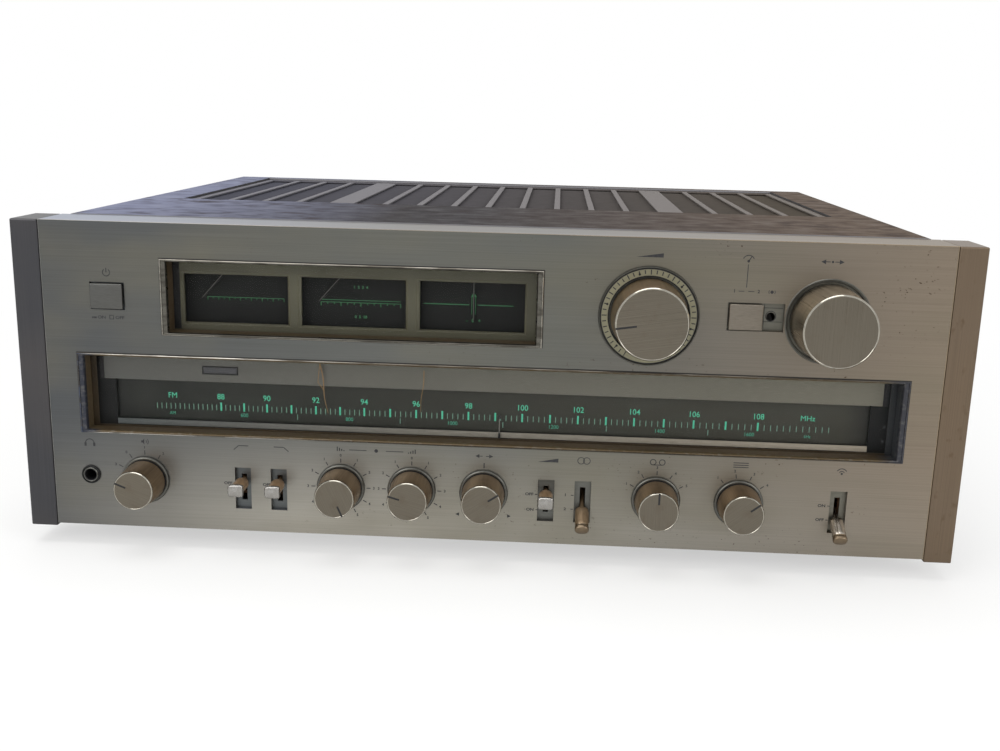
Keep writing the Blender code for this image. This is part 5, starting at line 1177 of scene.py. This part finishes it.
def build_volume_ring():
    """The cream scale ring: a thin raised rim, a flat printed face and a collar down into the panel."""
    x, height = knob_centre("volume_knob")
    cream, rim, dark = range(3)
    profile = [
        (2.4, 20.7, dark),
        (-0.9, 20.6, dark),
        (RING_FACE, 20.9, cream),
        (RING_FACE, 24.7, dark),
        (RING_FACE, 24.95, rim),
        (-1.7, 25.1, rim),
        (-1.95, 25.3, rim),
        (-1.95, 25.55, rim),
        (-1.5, 25.85, rim),
        (-0.35, 25.95, dark),
        (-0.35, 21.4, dark),
        (2.4, 21.4, dark),
    ]
    bm = bmesh.new()
    add_turned(bm, profile, 128, closed=True)
    ring = piece("volume_scale_ring", bm, [CREAM, KNOB_SKIRT, FRAME_BLACK], origin=at(x, 0, height))
    smooth(ring)
    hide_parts("volume_ring")
    marks = bmesh.new()
    depth = RING_FACE - 0.04
    for i in range(RING_MARKS):
        angle = RING_START_DEGREES + RING_SWEEP_DEGREES * i / (RING_MARKS - 1)
        near, far = (21.6, 24.2) if i % 4 == 0 else (22.0, 24.0)
        ray(marks, (x, height), angle, near, far, 0.55, depth)
    for i in range(0, RING_MARKS, 8):
        turn = math.radians(RING_START_DEGREES + RING_SWEEP_DEGREES * (i + 2) / (RING_MARKS - 1))
        disc(marks, (x + 22.3 * math.sin(turn), height + 22.3 * math.cos(turn)), 0.6, depth, sides=12)
    arc(marks, (x, height), 24.55, 0, 360, 0.35, depth, steps=96)
    arc(marks, (x, height), 21.05, 0, 360, 0.25, depth, steps=96)
    piece("volume_ring_printing", marks, [BLACK_INK])


def build_buttons():
    for body in ("power_button", "meter_button"):
        (left, front, bottom), (right, _, top) = edges_of(body)
        bm = bmesh.new()
        block_between(bm, (left, front, bottom), (right, 0.2, top))
        made = piece(f"{body}_cap", bm, [BUTTON_METAL], body)
        rounded_edges(made, 0.55, 4)
        smooth(made, 50)
        stem = bmesh.new()
        middle, level = (left + right) / 2, (bottom + top) / 2
        block_between(stem, (middle - 4.5, 0.0, level - 3.5), (middle + 4.5, 15.9, level + 3.5))
        root = piece(f"{body}_stem", stem, [FRAME_BLACK], body)
        rounded_edges(root, 0.3, 2)
        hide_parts(body)
        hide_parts(body)


def lever_ring(bm, reach, width, height, corner, count=20):
    """One section of a lever: a rounded rectangle as a power curve, square to the lever's length."""
    points = []
    for i in range(count):
        turn = 2 * math.pi * (i + 0.5) / count
        c, s = math.cos(turn), math.sin(turn)
        x = math.copysign(abs(c) ** corner, c) * width / 2
        z = math.copysign(abs(s) ** corner, s) * height / 2
        points.append(bm.verts.new(Vector((x, -reach, z)) * MM))
    return points


LEVERS_DOWN = ("mode_lever", "muting_lever")
LEVER_DOWN_DEGREES = 29
# Their tips are smaller and rounder: shares of the width and of the height, and the corner power
ROUND_TIP = (0.92, 0.86, 0.8)
LEVER_LOOKS = {
    "mode_lever": [LEVER_BROWN, LEVER_DULL_TIP],
    "muting_lever": [LEVER_SILVER, LEVER_DULL_TIP],
}
# Each is (reach, width, height, corner power, look of the stretch before it)
LEVER_SECTIONS = (
    (0.0, 2.2, 4.0, 0.6, 0),
    (16.1, 2.2, 4.0, 0.6, 0),
    (16.8, 4.6, 4.6, 0.8, 0),
    (17.6, 6.8, 6.0, 0.9, 0),
    (19.0, 7.5, 6.6, 0.95, 0),
    (22.5, 7.5, 6.4, 0.95, 0),
    (27.2, 7.3, 6.0, 0.9, 0),
    (28.8, 7.2, 5.9, 0.8, 0),
    (29.3, 7.7, 6.3, 0.45, 1),
    (29.9, 8.2, 6.7, 0.35, 1),
    (31.2, 8.2, 6.7, 0.35, 1),
    (31.8, 7.4, 5.9, 0.4, 1),
    (31.95, 6.6, 5.4, 0.45, 1),
)


# The pin that a lever turns on, as a profile about X
LEVER_PIN = (
    (-3.4, 0, 0),
    (-3.4, 1.2, 0),
    (-1.1, 1.2, 0),
    (-1.1, 2.9, 0),
    (1.1, 2.9, 0),
    (1.1, 1.2, 0),
    (3.4, 1.2, 0),
    (3.4, 0, 0),
)


def build_levers():
    """Bat levers: a flat stem that swells into a round bat and ends in a bright squared tip."""
    for body in ("low_filter_lever", "high_filter_lever", "loudness_lever", "mode_lever", "muting_lever"):
        bm = bmesh.new()
        rings = []
        for reach, width, height, corner, look in LEVER_SECTIONS:
            if body in LEVERS_DOWN and look:
                width, height, corner = width * ROUND_TIP[0], height * ROUND_TIP[1], ROUND_TIP[2]
            rings.append(lever_ring(bm, reach, width, height, corner))
        for k, (first, second) in enumerate(zip(rings, rings[1:])):
            for i in range(len(first)):
                j = (i + 1) % len(first)
                face = bm.faces.new((first[i], first[j], second[j], second[i]))
                face.material_index = LEVER_SECTIONS[k + 1][4]
        bm.faces.new(rings[0])
        bm.faces.new(rings[-1]).material_index = 1
        bmesh.ops.recalc_face_normals(bm, faces=bm.faces)
        add_turned(bm, LEVER_PIN, 20, axis="X")
        turn = (math.radians(LEVER_DOWN_DEGREES), 0, 0) if body in LEVERS_DOWN else None
        looks = LEVER_LOOKS.get(body, [LEVER_TAN, LEVER_TIP])
        made = piece(f"{body}_bat", bm, looks, body, PIVOTS[body], turn)
        smooth(made, 40)
        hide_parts(body)


def build_headphone_socket():
    """A grey barrel in a black nut, with a black bore."""
    (left, _, bottom), (right, _, top) = edges_of("headphone_jack")
    x, height = (left + right) / 2, (bottom + top) / 2
    nut, barrel, dark = range(3)
    profile = [
        (23.5, 0, dark),
        (23.5, 3.1, dark),
        (0.5, 3.1, dark),
        (-1.0, 3.15, dark),
        (-1.25, 3.5, barrel),
        (-1.35, 3.7, barrel),
        (-1.2, 3.95, barrel),
        (-1.0, 4.1, nut),
        (-0.7, 4.25, nut),
        (-1.1, 4.4, nut),
        (-1.1, 4.8, nut),
        (-0.8, 5.1, nut),
        (-0.3, 5.1, nut),
        (-0.3, 4.1, barrel),
        (4.4, 4.1, barrel),
        (4.4, 6.9, dark),
        (25.9, 6.9, dark),
        (25.9, 0, dark),
    ]
    bm = bmesh.new()
    add_turned(bm, profile, 64)
    made = piece("headphone_socket", bm, [FRAME_BLACK, KNOB_SKIRT, SOOT], origin=at(x, 0, height))
    smooth(made)
    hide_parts("headphone_jack")


# Cover and rear

# The rear fittings stand this far off the rear panel's face
FITTING_GAP = 0.3
# How many openings each group of the vent has, and how wide the bars between and round them are
VENT_GROUPS = (4, 9, 4)
VENT_BAR = 3.9
VENT_GROUP_BAR = 16.0
VENT_BORDER = 10.0
LOUVRE_PITCH = 6.0
LOUVRE_WIDTH = 5.4
# How far a louvre falls for each millimetre towards its back
LOUVRE_FALL = 0.45


def build_vents():
    """The vent field: long openings between painted bars, with tilted louvres across below them."""
    (left, first, bottom), (right, last, top) = edges_of("vent_grille")
    columns = sum(VENT_GROUPS)
    bars = columns - len(VENT_GROUPS)
    room = right - left - 2 * VENT_BORDER - bars * VENT_BAR - (len(VENT_GROUPS) - 1) * VENT_GROUP_BAR
    width = room / columns
    bm = bmesh.new()
    block_between(bm, (left, first, bottom), (right, first + VENT_BORDER, top))
    block_between(bm, (left, last - VENT_BORDER, bottom), (right, last, top))
    block_between(bm, (left, first + VENT_BORDER, bottom), (left + VENT_BORDER, last - VENT_BORDER, top))
    x = left + VENT_BORDER
    for number, group in enumerate(VENT_GROUPS):
        for i in range(group):
            x += width
            wide = VENT_BAR
            if i == group - 1:
                wide = VENT_GROUP_BAR if number < len(VENT_GROUPS) - 1 else VENT_BORDER
            block_between(bm, (x, first + VENT_BORDER, bottom), (x + wide, last - VENT_BORDER, top))
            x += wide
    made = piece("vent_bars", bm, [ENAMEL_BAR])
    rounded_edges(made, 0.25, 2)
    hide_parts("vent_grille")
    louvres = bmesh.new()
    depth = first + VENT_BORDER - 1
    while depth < last - VENT_BORDER + 1:
        low, high = (left + 4, depth, bottom - 0.7), (right - 4, depth + LOUVRE_WIDTH, bottom - 0.1)
        for vert in block_between(louvres, low, high):
            back_from_edge = (vert.co.y - FRONT_M) / MM - depth
            vert.co.z -= back_from_edge * LOUVRE_FALL * MM
        depth += LOUVRE_PITCH
    made = piece("vent_louvres", louvres, [LOUVRE_PAINT])
    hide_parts("vent_grille")


def add_screw(bm, place, way, radius=3.0):
    """Adds a domed screw head with a recess painted black as shade, standing on a surface and facing one way.
    """
    turn = Vector((0, -1, 0)).rotation_difference(way).to_matrix().to_4x4()
    fresh = bmesh.new()
    add_turned(fresh, [(0, radius, 0), (-0.5, radius, 0), (-1.1, radius * 0.8, 0), (-1.4, radius * 0.45, 1),
                       (-0.9, radius * 0.35, 1), (-0.9, 0, 1)], 20)
    bmesh.ops.transform(fresh, matrix=Matrix.Translation(place) @ turn, verts=fresh.verts)
    mesh = bpy.data.meshes.new("screw")
    fresh.to_mesh(mesh)
    fresh.free()
    bm.from_mesh(mesh)
    bpy.data.meshes.remove(mesh)


def build_screws():
    """Domed screws: four in the cover's sides, and two rows along the rear panel."""
    (left, _, low), (right, _, _) = edges_of("top_cover")
    bm = bmesh.new()
    for side, x in ((-1, left), (1, right)):
        for depth in (110, 300):
            add_screw(bm, at(x, depth, low + 14), Vector((side, 0, 0)))
    (left, _, low), (right, _, high) = edges_of("rear_panel")
    seat = edges_of("jack_panel")[0][1] - FITTING_GAP
    for x in (left + 8, left + 120, right - 120, right - 8):
        for height in (low + 7, high - 7):
            add_screw(bm, at(x, seat, height), Vector((0, 1, 0)), 2.6)
    smooth(piece("case_screws", bm, [NICKEL, SOOT]))


def grid_cells(node, columns, rows):
    """The cells of an even grid over a fitting, as (column, row, x and height of the middle)."""
    (left, _, low), (right, _, high) = edges_of(node)
    for i in range(columns):
        for j in range(rows):
            x = left + (right - left) * (i + 0.5) / columns
            yield i, j, x, low + (high - low) * (j + 0.5) / rows


def build_phono_strip():
    """The phono sockets: nickel sleeves with red or ivory insulators, in pairs on a fibre strip."""
    (left, front, low), (right, back, high) = edges_of("jack_panel")
    sleeve, red, ivory, fibre, dark = range(5)
    bm = bmesh.new()
    block_between(bm, (left, front, low), (right, front + 1.6, high), fibre)
    for _, row, x, height in grid_cells("jack_panel", 6, 2):
        insulator = ivory if row else red
        profile = [
            (front + 1.6, 5.6, insulator),
            (front + 2.4, 5.6, insulator),
            (front + 2.6, 5.2, insulator),
            (front + 2.6, 4.2, sleeve),
            (back - 0.3, 4.2, sleeve),
            (back, 3.9, sleeve),
            (back, 3.3, insulator),
            (back - 0.6, 3.3, insulator),
            (back - 0.6, 1.7, dark),
            (back - 6, 1.7, dark),
            (back - 6, 0, dark),
        ]
        add_turned(bm, profile, 28, centre=at(x, 0, height))
    made = piece("phono_strip", bm, [NICKEL, RED_PLASTIC, IVORY_PLASTIC, PHENOLIC, SOOT])
    smooth(made)
    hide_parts("jack_panel")


def build_speaker_terminals():
    """Push terminals: a black block with red and black levers and wire holes beneath them."""
    (left, front, low), (right, back, high) = edges_of("speaker_terminals")
    face = back - 3.5
    block, red, dark = range(3)
    hole = [(face + 0.5, 2.6, 0), (face + 0.5, 1.8, 1), (face - 2, 1.8, 1), (face - 2, 0, 1)]
    bm = bmesh.new()
    holes = bmesh.new()
    block_between(bm, (left, front, low), (right, face, high), block)
    for column, _, x, z in grid_cells("speaker_terminals", 4, 2):
        look = red if column % 2 else dark
        block_between(bm, (x - 7, face - 2, z - 1), (x + 7, back, z + 6), look)
        add_turned(holes, hole, 20, centre=at(x, 0, z - 5))
    made = piece("speaker_terminal_block", bm, [FRAME_BLACK, RED_PLASTIC, SOOT])
    rounded_edges(made, 0.6)
    rims = piece("speaker_terminal_holes", holes, [FRAME_BLACK, SOOT])
    smooth(rims)
    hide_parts("speaker_terminals")


def build_antenna_terminals():
    """Five screw terminals on a black strip."""
    (left, front, low), (right, back, high) = edges_of("antenna_terminals")
    face = back - 3.0
    bm = bmesh.new()
    block_between(bm, (left, front, low), (right, face, high))
    made = piece("antenna_terminal_strip", bm, [FRAME_BLACK])
    rounded_edges(made, 0.6)
    outline = ((face, 4.2), (face + 0.6, 4.2), (face + 0.6, 3.1), (back - 0.5, 3.1), (back, 2.6), (back, 0))
    head = [(depth, radius, 0) for depth, radius in outline]
    screws = bmesh.new()
    for _, _, x, height in grid_cells("antenna_terminals", 5, 1):
        add_turned(screws, head, 24, centre=at(x, 0, height))
    heads = piece("antenna_terminal_screws", screws, [NICKEL])
    smooth(heads)
    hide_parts("antenna_terminals")
    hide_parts("antenna_terminals")


def build_rear_marks():
    """Pale outlines round the groups of terminals, and plus and minus signs over the speaker terminals."""
    seat = edges_of("jack_panel")[0][1] - FITTING_GAP
    half = 0.25
    bm = bmesh.new()

    def stroke(x1, z1, x2, z2):
        block_between(bm, (x1 - half, seat, z1 - half), (x2 + half, seat + 0.06, z2 + half))

    for node in ("speaker_terminals", "antenna_terminals", "jack_panel"):
        (left, _, low), (right, _, high) = edges_of(node)
        left, low, right, high = left - 4, low - 4, right + 4, high + 9
        for height in (low, high):
            stroke(left, height, right, height)
        for x in (left, right):
            stroke(x, low, x, high)
    top = edges_of("speaker_terminals")[1][2]
    for column, _, x, _ in grid_cells("speaker_terminals", 4, 1):
        stroke(x - 1.8, top + 4.5, x + 1.8, top + 4.5)
        if column % 2:
            stroke(x, top + 2.7, x, top + 6.3)
    piece("rear_marks", bm, [PALE_INK])


def dress_frame():
    """Every solid that shows as it is gets its finish."""
    looks = {
        PANEL: ("front_panel",),
        CHEEK: ("left_cheek", "right_cheek"),
        COVER: ("top_cover",),
        ZINC: ("front_bracket", "chassis", "tuning_gang", "tuning_shaft"),
        REAR_GREY: ("rear_panel",),
        CLEAR: ("meter_window", "dial_window"),
        OLIVE: ("meter_mask",),
        METER_BLACK: (
            "left_meter",
            "middle_meter",
            "right_meter",
            "left_needle",
            "middle_needle",
            "right_needle",
        ),
        SOOT: ("dial_pointer",),
        FRAME_BLACK: ("dial_frame", "bar_antenna", "power_transformer"),
        STRIP_METAL: ("dial_header",),
        RAIL_PAINT: ("pointer_rail",),
        SCALE_SMOKE: ("dial_scale",),
        TWINE: ("dial_cord",),
        NYLON: ("dial_drum", "cord_idler"),
        PHENOLIC: ("control_board", "volume_board", "main_board"),
        SINK_BLACK: ("heat_sink",),
        RUBBER: ("foot_front_left", "foot_front_right", "foot_rear_left", "foot_rear_right", "cord_gland"),
    }
    for look, nodes in looks.items():
        for node in nodes:
            dress(node, look)


# Floor, lights and camera

FLOOR_HALF_M = 6.0
# The floor is a part white up to the first distance and plain white from the second
SHADOW_REACH_M = 0.25
WHITE_FROM_M = 0.75
NEAR_WHITE = 0.55
# How bright the room is as a light, where it isn't looked at
WORLD_LIGHT = 0.55
# Each is (name, place, target, size, power), in metres and watts
LAMPS = (
    ("overhead_softbox", (-0.2, -0.1, 1.9), (0, 0, 0.1), 1.6, 22),
    ("front_softbox", (-1.1, -1.7, 1.2), (0, -0.1, 0.1), 1.2, 14),
    ("right_softbox", (1.4, -1.2, 0.9), (0, -0.1, 0.1), 1.0, 7),
)


def plain_stage():
    """A pale floor that keeps the shadow and turns to plain white away from the receiver."""
    bm = bmesh.new()
    bmesh.ops.create_grid(bm, x_segments=1, y_segments=1, size=FLOOR_HALF_M)
    mesh = bpy.data.meshes.new("floor")
    bm.to_mesh(mesh)
    bm.free()
    floor = bpy.data.objects.new("floor", mesh)
    bpy.context.scene.collection.objects.link(floor)
    pale = new_material("pale_floor", "f2f2f0", 0.9)
    distance = add(pale, "distance", add(pale, "coordinates", output="Object"))
    whitening = add(pale, "range", distance, SHADOW_REACH_M, WHITE_FROM_M, NEAR_WHITE, 1.0)
    share = add(pale, "times", add(pale, "rays", output="Is Camera Ray"), whitening)
    lit = pale.node_tree.nodes["Principled BSDF"].outputs["BSDF"]
    seen = add(pale, "either", share, lit, add(pale, "glow", "ffffff", 1.0))
    feed(pale, pale.node_tree.nodes["Material Output"].inputs["Surface"], seen)
    mesh.materials.append(pale)


def studio_world():
    """An even pale room: plain white where the camera, metal or glass looks at it, dimmer as a light."""
    world = bpy.data.worlds.new("studio")
    bpy.context.scene.world = world
    world.use_nodes = True
    rays = [add(world, "rays", output=f"Is {way} Ray") for way in ("Camera", "Transmission", "Glossy")]
    looked_at = add(world, "larger", add(world, "larger", rays[0], rays[1]), rays[2])
    background = world.node_tree.nodes["Background"].inputs
    feed(world, background["Color"], "ffffff")
    feed(world, background["Strength"], add(world, "range", looked_at, 0, 1, WORLD_LIGHT, 1.0))


def add_lamp(name, place, target, size, power):
    data = bpy.data.lights.new(name, "AREA")
    data.shape = "DISK"
    data.size = size
    data.energy = power
    lamp = bpy.data.objects.new(name, data)
    lamp.location = place
    lamp.rotation_euler = (Vector(target) - Vector(place)).to_track_quat("-Z", "Y").to_euler()
    bpy.context.scene.collection.objects.link(lamp)


def add_camera():
    """The photograph's camera, from its fitted place, pitch, roll and yaw."""
    data = bpy.data.cameras.new("camera")
    data.sensor_width = 36.0
    data.sensor_fit = "HORIZONTAL"
    data.lens = CAMERA_LENS
    camera = bpy.data.objects.new("camera", data)
    level = math.cos(CAMERA_PITCH)
    forward = Vector((-math.sin(CAMERA_YAW) * level, math.cos(CAMERA_YAW) * level, math.sin(CAMERA_PITCH)))
    right = Vector((math.cos(CAMERA_YAW), math.sin(CAMERA_YAW), 0))
    up = right.cross(forward)
    c, s = math.cos(CAMERA_ROLL), math.sin(CAMERA_ROLL)
    tilted_right, tilted_up = right * c + up * s, up * c - right * s
    turn = Matrix((tilted_right, tilted_up, -forward)).transposed()
    camera.matrix_world = Matrix.Translation(at(*CAMERA_PLACE)) @ turn.to_4x4()
    bpy.context.scene.collection.objects.link(camera)
    bpy.context.scene.camera = camera


dress_frame()
build_printing()
build_polished_edges()
build_plate_details()
build_tuning_recess()
build_bezel("meter_bezel", "meter_trim", METER_SLOPE, METER_BEAD)
build_bezel("dial_bezel", "dial_trim", BEZEL_SLOPE, DIAL_BEAD)
build_bezel_gaps()
build_pane_borders()
build_dial_printing()
build_indicator()
build_pointer_details()
build_cracks()
build_mask_lips()
build_meter_printing()
build_needle_lines()
build_knobs()
build_volume_ring()
build_buttons()
build_levers()
build_headphone_socket()
build_vents()
build_screws()
build_phono_strip()
build_speaker_terminals()
build_antenna_terminals()
build_rear_marks()

plain_stage()
studio_world()
for lamp in LAMPS:
    add_lamp(*lamp)
add_camera()
bpy.context.scene.view_settings.view_transform = "Standard"
